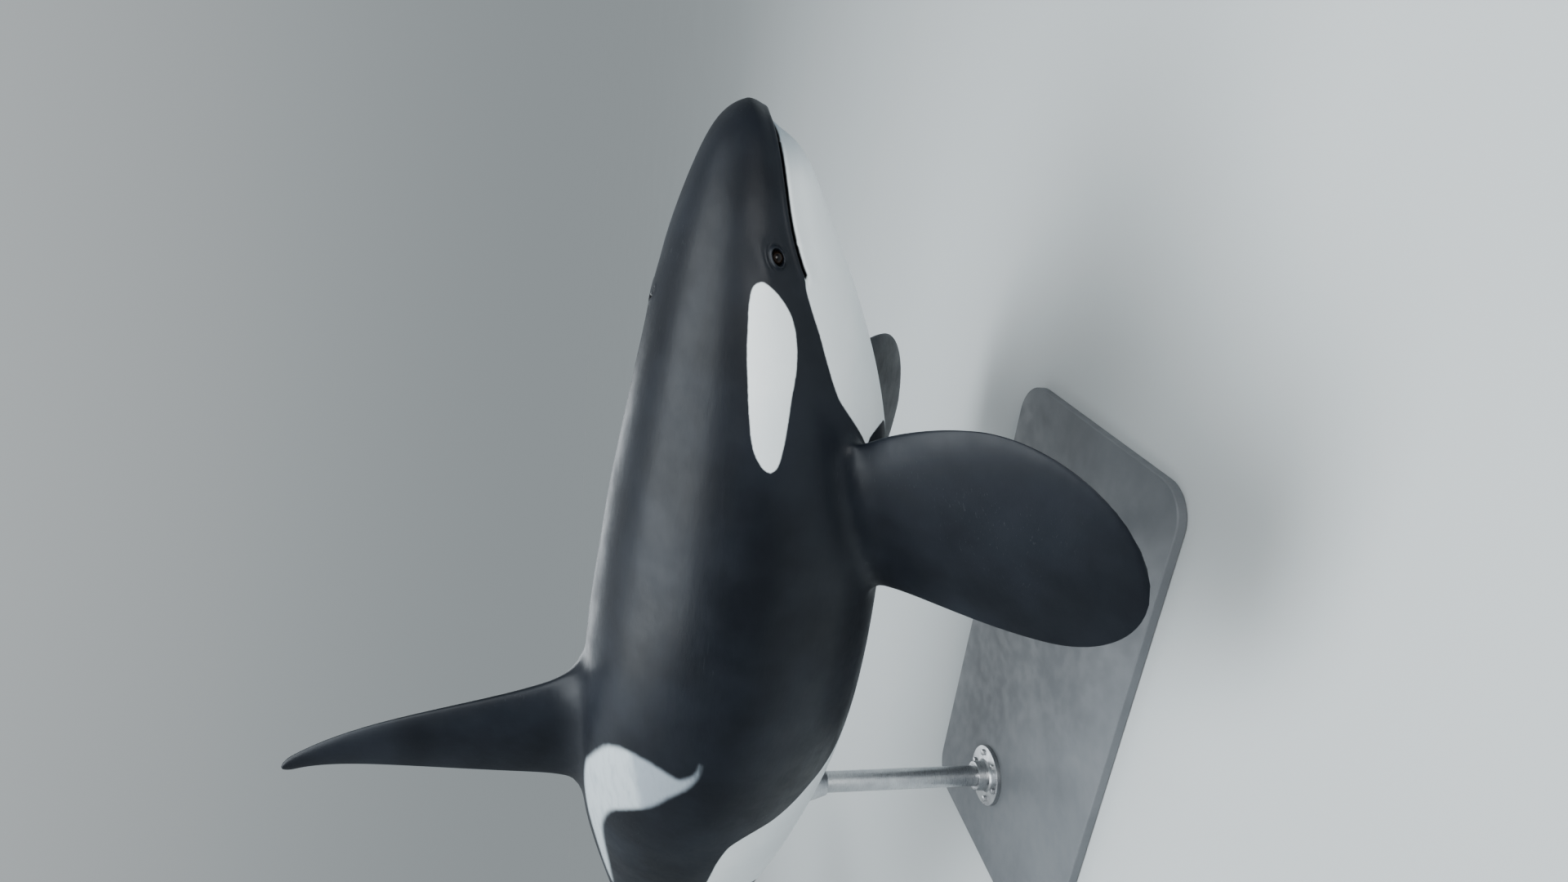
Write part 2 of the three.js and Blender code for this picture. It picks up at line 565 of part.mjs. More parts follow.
function addStandLeg(name, at, hull) {
  const { x, y } = spineAt(at);
  const belly = skin(at, -Math.PI / 2).z;
  const floor = BASE_THICKNESS + GAP;
  const rod = upright(ROD_RADIUS, belly - floor + SUNK_END, x, y, floor);
  addNode(`stand_rod_${name}`, rod.subtract(hull), STEEL);
  const bore = ROD_RADIUS + GAP;
  const flange = [[bore, 0], [FLANGE_RADIUS, 0], [FLANGE_RADIUS, FLANGE_THICKNESS],
    [FLANGE_COLLAR_RADIUS, FLANGE_THICKNESS], [FLANGE_COLLAR_TOP, FLANGE_COLLAR_HEIGHT],
    [bore, FLANGE_COLLAR_HEIGHT]];
  addNode(`stand_flange_${name}`, turnedRing(flange, x, y, floor), STEEL);
  const sleeve = [[bore, 0], [SLEEVE_RADIUS * SLEEVE_TAPER, 0], [SLEEVE_RADIUS, SLEEVE_HEIGHT - SLEEVE_RIM],
    [SLEEVE_RADIUS, SLEEVE_HEIGHT + SUNK_END], [bore, SLEEVE_HEIGHT + SUNK_END]];
  addNode(`stand_sleeve_${name}`, turnedRing(sleeve, x, y, belly - SLEEVE_HEIGHT).subtract(hull), STEEL);
  for (let i = 0; i < BOLT_COUNT; i++) {
    const angle = 2 * Math.PI * (i + 0.5) / BOLT_COUNT;
    const [bx, by] = [x + BOLT_CIRCLE * Math.cos(angle), y + BOLT_CIRCLE * Math.sin(angle)];
    const bolt = upright(BOLT_RADIUS, BOLT_HEIGHT, bx, by, floor + FLANGE_THICKNESS + GAP, 6);
    addNode(`stand_bolt_${name}_${i + 1}`, bolt, STEEL);
  }
}

const body = bodySolid();
const hull = bodySolid(GAP);
const lipCore = bodySolid(-LIP_DEPTH);
const blowCore = bodySolid(-BLOWHOLE_DEPTH);

const groove = lipGroove(lipCore);
const eyes = { left: eyeParts(EYE_GIRTH), right: eyeParts(Math.PI - EYE_GIRTH) };
const front = ahead(body, NECK_CUT);
let head = front.subtract(jawBlock(0)).subtract(groove).subtract(blowhole(blowCore));
for (const name of ['left', 'right']) {
  head = head.add(eyes[name].lids).subtract(eyes[name].socket);
  addNode(`eye_${name}`, eyes[name].ball, EYE_BROWN);
}
addNode('head', head, BLACK_SKIN);
addNode('lower_jaw', front.intersect(jawBlock(GAP)).subtract(groove), WHITE_SKIN);

const trunk = behind(body, NECK_CUT);
addNode('torso', ahead(trunk, TAIL_CUT), BLACK_SKIN);
addNode('tail_stock', behind(trunk, TAIL_CUT), BLACK_SKIN);
addNode('dorsal_fin', dorsalFin().subtract(hull), BLACK_SKIN);
for (const name of Object.keys(SIDES)) {
  addNode(`flipper_${name}`, flipper(name).subtract(hull), BLACK_SKIN);
  addNode(`fluke_${name}`, fluke(name).subtract(hull), BLACK_SKIN);
}

addNode('stand_base', baseSolid(), BASE_PAINT);
for (const [name, at] of Object.entries(ROD_STATIONS)) addStandLeg(name, at, hull);

export default orca;
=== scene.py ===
import math

import bmesh
import bpy
import numpy as np
from mathutils import Matrix, Vector, kdtree


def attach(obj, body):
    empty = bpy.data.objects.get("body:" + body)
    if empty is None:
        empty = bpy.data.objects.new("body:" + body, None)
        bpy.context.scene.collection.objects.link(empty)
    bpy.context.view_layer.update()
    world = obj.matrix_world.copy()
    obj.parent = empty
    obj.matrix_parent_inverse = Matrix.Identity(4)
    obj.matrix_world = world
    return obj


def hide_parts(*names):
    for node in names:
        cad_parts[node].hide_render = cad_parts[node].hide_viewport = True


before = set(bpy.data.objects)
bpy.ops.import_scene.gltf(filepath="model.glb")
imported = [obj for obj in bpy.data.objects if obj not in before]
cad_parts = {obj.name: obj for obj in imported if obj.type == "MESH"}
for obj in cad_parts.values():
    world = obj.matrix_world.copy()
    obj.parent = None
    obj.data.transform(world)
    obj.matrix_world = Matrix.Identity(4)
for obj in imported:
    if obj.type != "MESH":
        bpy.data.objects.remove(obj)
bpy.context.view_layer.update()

# Body: lengths are measured along the spine from the tip of the snout to the notch of the flukes
BODY_LENGTH = 6.6
SPINE_HEIGHT = 1.7
SPINE_STEP = 0.02
SPINE_PAST = 0.2
SPINE_SKIP = 5
PLACE_STEPS = 7
ORIGIN_STATION = 2.64
HEAD_LIFT = math.radians(14.5)
HEAD_LIFT_END = 1.98
TAIL_TURN = math.radians(24)
TAIL_TURN_START = 0.66
TAIL_TURN_END = 5.94
SNOUT_DROP, SNOUT_DROP_END = 0.053, 0.528
BODY_END = 6.545
BODY_CAP = 0.002
KEEL_START = 4.3
KEEL_FULL = 5.6
KEEL_SHARPNESS = 0.55

# Station, depth of the back, depth of the belly and half the breadth
BODY_PROFILE = [
    (0, 0, 0, 0),
    (0.053, 0.118, 0.070, 0.139),
    (0.198, 0.216, 0.200, 0.238),
    (0.462, 0.325, 0.319, 0.362),
    (0.858, 0.457, 0.446, 0.475),
    (1.320, 0.562, 0.562, 0.568),
    (1.980, 0.645, 0.625, 0.624),
    (2.640, 0.680, 0.640, 0.608),
    (3.300, 0.664, 0.572, 0.517),
    (3.960, 0.548, 0.474, 0.378),
    (4.620, 0.400, 0.360, 0.246),
    (5.280, 0.278, 0.252, 0.153),
    (5.940, 0.180, 0.170, 0.096),
    (6.600, 0.034, 0.034, 0.030),
]

# Mouth line, given by its height against the spine
MOUTH_TIP_HEIGHT = -0.129
MOUTH_MIDDLE = 0.45
MOUTH_MIDDLE_HEIGHT = -0.112
GAPE = 0.594
GAPE_HEIGHT = -0.134
LIP_DEPTH = 0.013
LIP_WIDTH = 0.0045
LIP_FADE = 0.05
CORNER_DROP = 0.012

# Rise, height over the mouth line and width of the lips, and of the fold along the jaw
UPPER_LIP = (0.0035, 0.015, 0.009)
LOWER_LIP = (0.0045, -0.017, 0.011)
JAW_FOLD = (-0.004, -0.055, 0.022)
JAW_FOLD_START, JAW_FOLD_FADE = 0.1, 0.15

# Snout: station and height of its middle, and how far it is filled or set back, and how wide
SNOUT_MIDDLE = (0.02, -0.117)
SNOUT_FILL, SNOUT_FILL_REACH = 0.013, 0.058
JAW_SET_BACK, JAW_SET_BACK_REACH = 0.024, 0.14

# Eye and blowhole
EYE_STATION = 0.52
EYE_GIRTH = math.radians(-6.5)
EYE_RADIUS = 0.031
EYE_SUNK = 0.0235
EYE_OPENING = (0.030, 0.0185)
EYE_TILT = math.radians(8)
EYE_REACH = 0.3
CORNEA = 0.0015
CORNEA_REACH = 0.55
PUPIL_SHAPE = (0.8, 1.12)
SOCKET_DEPTH = 0.016
SOCKET_EDGE, SOCKET_FADE = 0.86, 0.22

# Rise, place and width of the rings round an eye, the last two in sizes of its opening
EYE_LID = (0.009, 1.24, 0.24)
EYE_FOLD = (-0.0016, 1.85, 0.16)
OUTER_EYE_FOLD = (-0.0012, 2.5, 0.2)
EYE_FOLD_RIPPLE = 0.4

# Rise, half length, height over the eye and half width of the brow and of the hollow below
BROW = (0.006, 0.085, 0.055, 0.035)
EYE_HOLLOW = (-0.0035, 0.07, -0.058, 0.022)

BLOWHOLE_STATION = 0.715
BLOWHOLE_RADIUS = 0.062
BLOWHOLE_ARC = math.radians(74)
BLOWHOLE_DEPTH = 0.014
BLOWHOLE_HALF_WIDTH = 0.005
BLOWHOLE_OFFSET = 0.018
BLOWHOLE_MOUND = 0.006
BLOWHOLE_MOUND_REACH = 0.11
BLOWHOLE_RIM = (0.0022, 0.016, 0.01)
BLOWHOLE_BELOW = 0.15
FAR = 9

# Dorsal fin. An edge's sweep and hook each have a power, and so has each fin's taper, which is
# its half thickness at the root and the tip over its fullness
FIN_FULLNESS = 2.49
FIN_REAR_POWER = 0.9
FIN_ROW_POWER = 1.35
FIN_FRONT = 2.615
FIN_REAR = 3.352
FIN_FOOT = 0.56
FIN_BACK_HEIGHT = 0.675
FIN_HEIGHT = 1.368
FIN_LEAD = (0.402, 0.7, 0.176, 5)
FIN_TRAIL = (-0.198, 1.2, 0.112, 8)
FIN_TAPER = (0.074, 0.009, 0.8)
FIN_TIP_ROUND = 0.04
FIN_FLARE_LENGTH = 0.055
FIN_FLARE_THICKNESS = 0.026
FIN_FLARE_RISE = 0.045

# Flippers
FLIPPER_STATION = 1.544
FLIPPER_GIRTH = math.radians(-43.5)
FLIPPER_LENGTH = 1.165
FLIPPER_WIDTH = 0.912
FLIPPER_ROOT_SHARE = 0.72
FLIPPER_WIDEST = 0.58
FLIPPER_SWEEP = 0.066
FLIPPER_DOWN = {"left": math.radians(38), "right": math.radians(30.5)}
FLIPPER_FORWARD = {"left": math.radians(-8), "right": math.radians(23)}
FLIPPER_TWIST = {"left": 0, "right": math.radians(19)}
FLIPPER_ROW_POWER = 0.8
FLIPPER_TAPER = (0.062, 0.011, 0.8)
FLIPPER_FLARE = 0.018
FLIPPER_FLARE_FADE = 0.1
FLIPPER_SUNK = 0.26

# Flukes
FLUKE_FRONT = 5.9
FLUKE_SPAN = 0.925
FLUKE_TIP_LEAD = 6.65
FLUKE_TRAIL = 6.65
FLUKE_TRAIL_WAVE = 0.026
FLUKE_NOTCH_DEPTH = 0.07
FLUKE_NOTCH_WIDTH = 0.085
FLUKE_CURL = 0.095
FLUKE_ROW_POWER = 0.9
FLUKE_TAPER = (0.052, 0.008, 0.7)
FLUKE_FLARE = 0.022
FLUKE_FLARE_FADE = 0.07
FLUKE_STRAIGHT = 0.72
FLUKE_HOOK_POWER = 3.2
FLUKE_WAVES = 1.9
FLUKE_TIP_POWER = 5
FLUKE_CURL_POWER = 2.6
FLUKE_TIP_LENGTH = 0.012
LAST_ROW = 0.995

# Display stand
BASE_LENGTH = 2.7
BASE_WIDTH = 1.5
BASE_THICKNESS = 0.05
BASE_CORNER = 0.18
BASE_BEVEL = 0.008
ROD_RADIUS = 0.057
ROD_STATIONS = {"front": 1.76, "rear": 3.52}
FLANGE_RADIUS = 0.165
FLANGE_THICKNESS = 0.024
COLLAR_RADIUS = 0.084
FLANGE_FILLET = (0.008, 0.009)
COLLAR_TOP = 0.078
COLLAR_HEIGHT = 0.09
BOLT_CIRCLE = 0.128
BOLT_COUNT = 6
BOLT_RADIUS = 0.017
BOLT_HEIGHT = 0.013
SLEEVE_RADIUS = 0.096
SLEEVE_HEIGHT = 0.13
SLEEVE_TAPER = 0.72
SLEEVE_RIM = 0.034
ROD_BORE = 0.004
GAP = 0.0003
BELLY_RANGE = (0.9, 1.6)
HALVINGS = 24

# Fineness of the stand: steps round a corner, an edge and a ring
CORNER_STEPS = 12
BEVEL_STEPS = 5
RING_SIDES = 96
RING_ROUND = 0.0015

# Bolt head: share of its radius, share of its height, and how six-sided it is there
BOLT_ROWS = [
    (0.97, 0, 1), (1, 0.04, 1), (1, 0.8, 1), (0.9, 0.97, 0.35), (0.72, 1.0, 0.35), (0.4, 1.06, 0),
]
BOLT_TOP = 1.07
BOLT_SIDES = 36

# Fineness of the skin
BODY_RINGS = 264
RING_POWER = 1.45
BODY_SIDES = 136
FIN_ROWS = 50
FIN_SIDES = 64
FILLET_REACH = 0.1
FILLET_STEPS = 34
WELD = 0.004
MET = 2e-5
EYE_ROWS = 40
EYE_SIDES = 64

# The skin's grid is split near the edges of markings, and then near lips, eyes and blowhole,
# in rounds of (shortest edge to split, reach from the lips, from the eyes, from the blowhole)
MARKING_EDGE, MARKING_REACH = 0.008, 0.03
FEATURE_ROUNDS = [
    (0.006, 0.035, 0.12, 0.06), (0.0026, 0.016, 0.055, 0.022), (0.0018, 0.008, 0.045, 0.011),
]

# Swells of the body's sides: their height, and where they fade in and out
SWELL = 0.0025
SWELL_START, SWELL_END, SWELL_FADE = 0.9, 5.6, 0.8

# Start, end, depth and half width of the clefts along the belly's midline, and their rims' share
BELLY_CLEFTS = [(2.62, 2.66, 0.006, 0.014), (3.86, 4.3, 0.008, 0.009), (4.5, 4.6, 0.007, 0.009)]
CLEFT_RIM, CLEFT_RIM_PLACE = 0.35, 2.2
CLEFT_DEGREES = -60

# Colours, and the range of the skin's roughness
BLACK_DEEP = (0.0065, 0.0085, 0.013, 1)
BLACK_LIGHT = (0.016, 0.020, 0.028, 1)
RAKE_GREY = (0.11, 0.12, 0.13, 1)
SADDLE_LIGHT = (0.50, 0.55, 0.58, 1)
# The saddle's lower part: partly its own grey, partly painted shade
SADDLE_DARK_AND_SHADED = (0.33, 0.37, 0.41, 1)
SADDLE_SHADE = (0.22, 0.25, 0.29, 1)
WHITE_BRIGHT = (0.80, 0.83, 0.84, 1)
WHITE_SHADE = (0.66, 0.71, 0.73, 1)
# Grey at the tip of the lower jaw, partly painted shade
CHIN_GREY_AND_SHADE = (0.24, 0.29, 0.33, 1)
# Painted shade in the mouth's groove and the blowhole's slot
HOLLOW_PAINTED_SHADE = (0.004, 0.005, 0.007, 1)
SKIN_ROUGHNESS = (0.33, 0.44)
PUPIL = (0.002, 0.002, 0.003, 1)
IRIS_DARK = (0.006, 0.004, 0.003, 1)
IRIS_LIGHT = (0.028, 0.015, 0.009, 1)
EYE_WHITE = (0.012, 0.010, 0.010, 1)
STEEL_LIGHT = (0.60, 0.61, 0.62, 1)
STEEL_DARK = (0.47, 0.48, 0.50, 1)
PAINT_LIGHT = (0.20, 0.211, 0.226, 1)
PAINT_DARK = (0.155, 0.165, 0.179, 1)
FLOOR_LIGHT = (0.61, 0.635, 0.645, 1)
FLOOR_DARK = (0.58, 0.605, 0.615, 1)
WORLD_HORIZON = (0.259, 0.285, 0.297, 1)
WORLD_TOP = (0.465, 0.490, 0.500, 1)

# What is the same all over each surface
SKIN_GLOSS = {"IOR": 1.38, "Coat Weight": 0.06, "Coat Roughness": 0.2}
EYE_GLOSS = {"IOR": 1.34, "Coat Weight": 0.25, "Coat Roughness": 0.03}
STEEL_GLOSS = {"Metallic": 1.0}
FLOOR_GLOSS = {"Specular IOR Level": 0.0}

# Noise scales, for each metre, and in metres the heights of bumps and the edges of markings
TONES, GRAIN, STREAKS = 2.2, 42.0, (5.0, 34.0, 34.0)
RAKES, RAKE_PATCHES, RAKE_SHARE, RAKE_DEPTH = (3.2, 150.0, 150.0), 1.3, 0.17, 0.0004
PORES, PORE_HEIGHT = 210.0, 0.00025
CREASES, CREASE_HEIGHT = (9.0, 34.0, 34.0), 0.0007
GLOSS_PATCHES, GRAIN_ROUGHNESS = 6.0, 0.06
SADDLE_RAG, SADDLE_EDGE, SADDLE_BLEND = 0.014, (-0.018, 0.024), 0.028
WHITE_WOBBLE, WHITE_EDGE = 0.004, 0.0035
GROOVE_EDGE, GROOVE_END, SLOT_EDGE = (0.0035, 0.0085), 0.02, (0.003, 0.01)
IRIS_STREAKS, EYE_GRAIN, EYE_ROUGHNESS = (900.0, 900.0, 900.0), 300.0, (0.06, 0.13)
PUPIL_EDGE, IRIS_EDGE = (0.3, 0.34), (0.66, 0.74)
STEEL_BRUSH, BRUSH_DEPTH, STEEL_PATCHES = (24.0, 24.0, 900.0), 0.0002, 9.0
STEEL_ROUGHNESS = (0.24, 0.4)
PAINT_TONES, PAINT_PATCHES, PAINT_ROUGHNESS = 1.8, 14.0, (0.42, 0.56)
PAINT_PEEL, PAINT_PEEL_HEIGHT = 260.0, 0.0004
FLOOR_TONES, FLOOR_PATCHES, FLOOR_ROUGHNESS = 0.7, 5.0, (0.7, 0.85)

# Stage, lights (name, place, target, size, power, colour) and camera
FLOOR_RADIUS = 120
WORLD_TOP_START = 0.7
LOOK = "AgX - Medium High Contrast"
LIGHTS = [
    ("sky", (0.6, -1.6, 7.0), (0.4, 0, 1.5), (9, 5), 560, (0.93, 0.98, 1.0)),
    ("side", (5.5, -7.5, 3.4), (0.8, 0, 1.4), (5, 4), 270, (1.0, 0.99, 0.97)),
    ("rim", (-3.5, 7.5, 5.5), (0, 0, 1.6), (6, 4), 150, (0.92, 0.97, 1.0)),
]
CAMERA_AZIMUTH = math.radians(21.73)
CAMERA_ELEVATION = math.radians(13.14)
CAMERA_ROLL = 1.52844
CAMERA_PLACE = (2.72524, -3.78105, 2.50719)
CAMERA_LENS = 21.5585
SENSOR_WIDTH = 36
CLIP_END = 300

SKIN_NODES = [
    "head", "lower_jaw", "torso", "tail_stock", "dorsal_fin", "flipper_left", "flipper_right",
    "fluke_left", "fluke_right",
]

# Markings as (station in body lengths, degrees round the body from its widest line to the back).
# Each is the right side's, and the left side has the same. -90 is the middle of the belly.
EYE_PATCH = [
    (0.0904, 4.4), (0.0921, 9.4), (0.0998, 12.1), (0.1129, 13.3), (0.1263, 14.0), (0.1442, 13.7),
    (0.1623, 12.9), (0.176, 11.7), (0.1852, 9.6), (0.1917, 6.5), (0.1936, 3.9), (0.1909, 1.4),
    (0.1831, -0.5), (0.1696, -2.6), (0.1542, -4.9), (0.1392, -8.1), (0.1283, -9.6), (0.1174, -10.0),
    (0.1084, -8.6), (0.1014, -5.5), (0.0953, -1.3),
]
UNDERSIDE = [
    (-0.01, -25), (0.0279, -23), (0.0443, -20), (0.0691, -17.5), (0.085, -18.5), (0.0901, -20.8),
    (0.0995, -20.4), (0.1107, -21.5), (0.1221, -23.2), (0.1357, -24.6), (0.1495, -26.6),
    (0.1591, -28.9), (0.1671, -32.8), (0.1753, -37), (0.1821, -40.3), (0.1883, -43.2),
    (0.1855, -47), (0.184, -51.5), (0.1835, -58), (0.1845, -66), (0.1895, -72), (0.205, -75.5),
    (0.24, -77), (0.29, -76.5), (0.345, -73.5), (0.392, -67), (0.422, -57), (0.4355, -47),
    (0.4445, -38.5), (0.4535, -32.5),
    (0.4618, -26.8), (0.4691, -21.3), (0.476, -14.7), (0.484, -8.9), (0.4947, -3.8), (0.5093, -1.4),
    (0.5246, -0.1), (0.5565, 1.0), (0.595, 3.4), (0.632, 5.4), (0.660, 5.6), (0.668, 3.0),
    (0.652, -3.5), (0.628, -14), (0.607, -25), (0.600, -33), (0.607, -43), (0.632, -55),
    (0.662, -66), (0.688, -77), (0.698, -90), (0.70, -104), (0.55, -104), (0.35, -104),
    (0.15, -104), (-0.01, -104),
]
SADDLE = [
    (0.4734, 73.5), (0.4586, 71.5), (0.4420, 65.5), (0.4311, 61.5), (0.4175, 55.5), (0.4104, 48.6),
    (0.4083, 41.4), (0.4096, 34.1), (0.4135, 27.2), (0.4165, 22.3), (0.4112, 18), (0.4049, 15.9),
    (0.3987, 15.4), (0.4095, 15.6), (0.4173, 16.9), (0.4274, 20), (0.4364, 24.3), (0.4476, 28.6),
    (0.4572, 33.4), (0.4705, 42.4), (0.4844, 50.5), (0.5034, 55.4), (0.5217, 57.3), (0.5480, 57.5),
    (0.5780, 57.8), (0.6060, 59.2), (0.6280, 62.0), (0.6060, 65.0), (0.5740, 67.0), (0.5520, 68.3),
    (0.5330, 70.2), (0.5140, 72.3), (0.4950, 73.8),
]
# Line past which the saddle is painted darker, partly as painted shade on its lower part
SADDLE_LOWER_SHADE_EDGE = ((0.4205, 41.5), (0.4592, 35.1))
OUTLINE_STEPS = 6
OUTLINE_TENSION = 0.9

# How markings end where fins leave the body: margin, and fall for each metre proud of it
WHITE_OFF_BODY = (0.03, 1.2)
SADDLE_OFF_BODY = (0.02, 1.5)

# White: margin below the mouth line, and where it rises behind the mouth's corner
LIP_MARGIN = 0.005
LIP_RELEASE, LIP_RELEASE_START, LIP_RELEASE_LENGTH = 0.3, 0.004, 0.06
CHIN_START, CHIN_LENGTH = 0.04, 0.3
FEATURE_LIMIT, BODY_LIMIT = 0.1, 1.2

# White of the flukes' undersides: margins along their edges, midline and tips
FLUKE_MARGIN = 0.075
FLUKE_MIDDLE_MARGIN = 0.11
FLUKE_TIP_MARGIN = 0.17
FLUKE_PAINT_START = 0.06
FLUKE_FRONT_SLANT = 0.75
FLUKE_UNDERSIDE = 6


# Curves and places along the body

def ease(x):
    t = np.clip(x, 0, 1)
    return t * t * (3 - 2 * t)


def bell(x):
    return np.exp(-x * x)


def lerp(a, b, share):
    return a + (b - a) * share


def unit(way):
    return way / np.linalg.norm(way)


def turns_of(count):
    """Angles of a number of equal steps round a circle."""
    return 2 * math.pi * np.arange(count) / count


def natural_curve(xs, ys):
    """The smooth curve through the points that the solids are built on."""
    xs, ys = np.array(xs, float), np.array(ys, float)
    width = np.diff(xs)
    count = len(xs)
    system, right = np.eye(count), np.zeros(count)
    for i in range(1, count - 1):
        system[i, i - 1:i + 2] = width[i - 1], 2 * (width[i - 1] + width[i]), width[i]
        right[i] = 6 * ((ys[i + 1] - ys[i]) / width[i] - (ys[i] - ys[i - 1]) / width[i - 1])
    bend = np.linalg.solve(system, right)

    def curve(x):
        x = np.asarray(x, float)
        i = np.clip(np.searchsorted(xs, x) - 1, 0, count - 2)
        a = (xs[i + 1] - x) / width[i]
        b = 1 - a
        arch = ((a**3 - a) * bend[i] + (b**3 - b) * bend[i + 1]) * width[i] ** 2 / 6
        return a * ys[i] + b * ys[i + 1] + arch

    return curve


root_lengths = [math.sqrt(row[0]) for row in BODY_PROFILE]
back_curve, belly_curve, side_curve = (
    natural_curve(root_lengths, [row[k] for row in BODY_PROFILE]) for k in (1, 2, 3)
)
mouth_height = natural_curve(
    [0, MOUTH_MIDDLE / 2, MOUTH_MIDDLE, GAPE],
    [MOUTH_TIP_HEIGHT, (MOUTH_TIP_HEIGHT + MOUTH_MIDDLE_HEIGHT) / 2, MOUTH_MIDDLE_HEIGHT,
     GAPE_HEIGHT],
)


def heading(at):
    """Directions forward, left and up at stations along the spine."""
    at = np.asarray(at, float)
    yaw = TAIL_TURN * ease((at - TAIL_TURN_START) / (TAIL_TURN_END - TAIL_TURN_START))
    pitch = -HEAD_LIFT * (1 - ease(at / HEAD_LIFT_END))
    level = np.cos(pitch)
    forward = np.stack([level * np.cos(yaw), -level * np.sin(yaw), -np.sin(pitch)], -1)
    left = np.stack([np.sin(yaw), np.cos(yaw), 0 * yaw], -1)
    return forward, left, np.cross(forward, left)


spine_stations = np.arange(0, BODY_LENGTH + SPINE_PAST + SPINE_STEP / 2, SPINE_STEP)
spine_points = np.zeros((len(spine_stations), 3))
spine_points[1:] = -SPINE_STEP * np.cumsum(heading(spine_stations[:-1] + SPINE_STEP / 2)[0], 0)
spine_points += (0, 0, SPINE_HEIGHT) - spine_points[round(ORIGIN_STATION / SPINE_STEP)]


def spine_at(at):
    return np.stack([np.interp(at, spine_stations, spine_points[:, k]) for k in range(3)], -1)


def place(at, left, height):
    """Points given by station, distance to the left and height over the spine."""
    at, left, height = np.broadcast_arrays(np.asarray(at, float), left, height)
    _, left_way, up_way = heading(at)
    return spine_at(at) + left[..., None] * left_way + height[..., None] * up_way


def section(at):
    """Depth of back and belly, half breadth, keel and drop at stations."""
    root = np.sqrt(np.maximum(at, 0))
    keel = 1 + KEEL_SHARPNESS * ease((at - KEEL_START) / (KEEL_FULL - KEEL_START))
    drop = -SNOUT_DROP * (1 - ease(at / SNOUT_DROP_END))
    return back_curve(root), belly_curve(root), side_curve(root), keel, drop


def skin_point(at, angle):
    """The skin at a station and an angle: 0 is the left side, a quarter turn the back."""
    at, angle = np.broadcast_arrays(np.asarray(at, float), np.asarray(angle, float))
    back, belly, side, keel, drop = section(at)
    spread = np.sign(np.cos(angle)) * np.abs(np.cos(angle)) ** keel
    depth = np.where(np.sin(angle) > 0, back, belly)
    return place(at, side * spread, depth * np.sin(angle) + drop)


def body_places(points):
    """Station, left, height, angle round the body and reach, which is 1 on the skin, of points."""
    coarse = slice(None, None, SPINE_SKIP)
    gaps = (points**2).sum(1)[:, None] - 2 * points @ spine_points[coarse].T
    gaps += (spine_points[coarse] ** 2).sum(1)
    at = spine_stations[coarse][gaps.argmin(1)]
    for _ in range(PLACE_STEPS):
        forward, left_way, up_way = heading(at)
        rest = points - spine_at(at)
        at = np.clip(at - (rest * forward).sum(1), 0, spine_stations[-1])
    forward, left_way, up_way = heading(at)
    rest = points - spine_at(at)
    left, height = (rest * left_way).sum(1), (rest * up_way).sum(1)
    back, belly, side, keel, drop = section(at)
    rise = height - drop
    rise = rise / np.maximum(np.where(rise > 0, back, belly), 1e-4)
    spread = left / np.maximum(side, 1e-4)
    spread = np.sign(spread) * np.abs(spread) ** (1 / keel)
    return at, left, height, np.arctan2(rise, spread), np.hypot(rise, spread)


def flank_degrees(angle):
    """Degrees from the widest line toward the back, the same on both sides."""
    return np.degrees(np.arctan2(np.sin(angle), np.abs(np.cos(angle))))


# Flat map of one side of the body: station along, and girth from the widest line

def mean_radius(at):
    back, belly, side, _, _ = section(np.clip(at, 0.02, BODY_LENGTH))
    return (back + belly) / 4 + side / 2


def flat_map(station, degrees):
    at = np.asarray(station, float)
    return np.stack([at, np.radians(degrees) * mean_radius(at)], -1)


def smooth_outline(marks):
    """A closed smooth line through marks in body lengths and degrees, on the flat map."""
    marks = np.array(marks, float)
    points = flat_map(marks[:, 0] * BODY_LENGTH, marks[:, 1])
    share = np.arange(OUTLINE_STEPS)[:, None] / OUTLINE_STEPS
    line = []
    for i in range(len(points)):
        a, b, c, d = (points[(i + k) % len(points)] for k in (-1, 0, 1, 2))
        chord = np.linalg.norm(c - b)
        lead_in, lead_out = (
            way * min(1, chord / max(np.linalg.norm(way), 1e-6)) * OUTLINE_TENSION
            for way in (c - a, d - b)
        )
        line.append(
            (2 * share**3 - 3 * share**2 + 1) * b + (share**3 - 2 * share**2 + share) * lead_in
            + (3 * share**2 - 2 * share**3) * c + (share**3 - share**2) * lead_out
        )
    return np.concatenate(line)


def inside_by(points, outline):
    """How far points lie inside an outline, negative outside it."""
    nearest = np.full(len(points), 1e9)
    inside = np.zeros(len(points), bool)
    for a, b in zip(outline, np.roll(outline, -1, 0)):
        along = b - a
        share = np.clip(((points - a) @ along) / max(along @ along, 1e-12), 0, 1)
        nearest = np.minimum(nearest, ((points - a - share[:, None] * along) ** 2).sum(1))
        crosses = (a[1] > points[:, 1]) != (b[1] > points[:, 1])
        if abs(along[1]) > 1e-12:
            inside ^= crosses & (points[:, 0] < a[0] + along[0] * (points[:, 1] - a[1]) / along[1])
    return np.where(inside, 1, -1) * np.sqrt(nearest)


eye_patch_line, underside_line, saddle_line = (
    smooth_outline(marks) for marks in (EYE_PATCH, UNDERSIDE, SADDLE)
)


# Mesh helpers

def link(name, data):
    obj = bpy.data.objects.new(name, data)
    bpy.context.scene.collection.objects.link(obj)
    return obj


def closed_piece(name, points, faces):
    """A new piece with its faces turned outward."""
    mesh = bpy.data.meshes.new(name)
    mesh.from_pydata(points.tolist(), [], faces)
    mesh.update()
    bm = bmesh.new()
    bm.from_mesh(mesh)
    bmesh.ops.recalc_face_normals(bm, faces=bm.faces)
    bm.to_mesh(mesh)
    bm.free()
    return link(name, mesh)


def quads(rows, others):
    """The faces between loops of points and the loops beside them."""
    loop = [rows, np.roll(rows, -1, 1), np.roll(others, -1, 1), others]
    return np.stack(loop, -1).reshape(-1, 4).tolist()


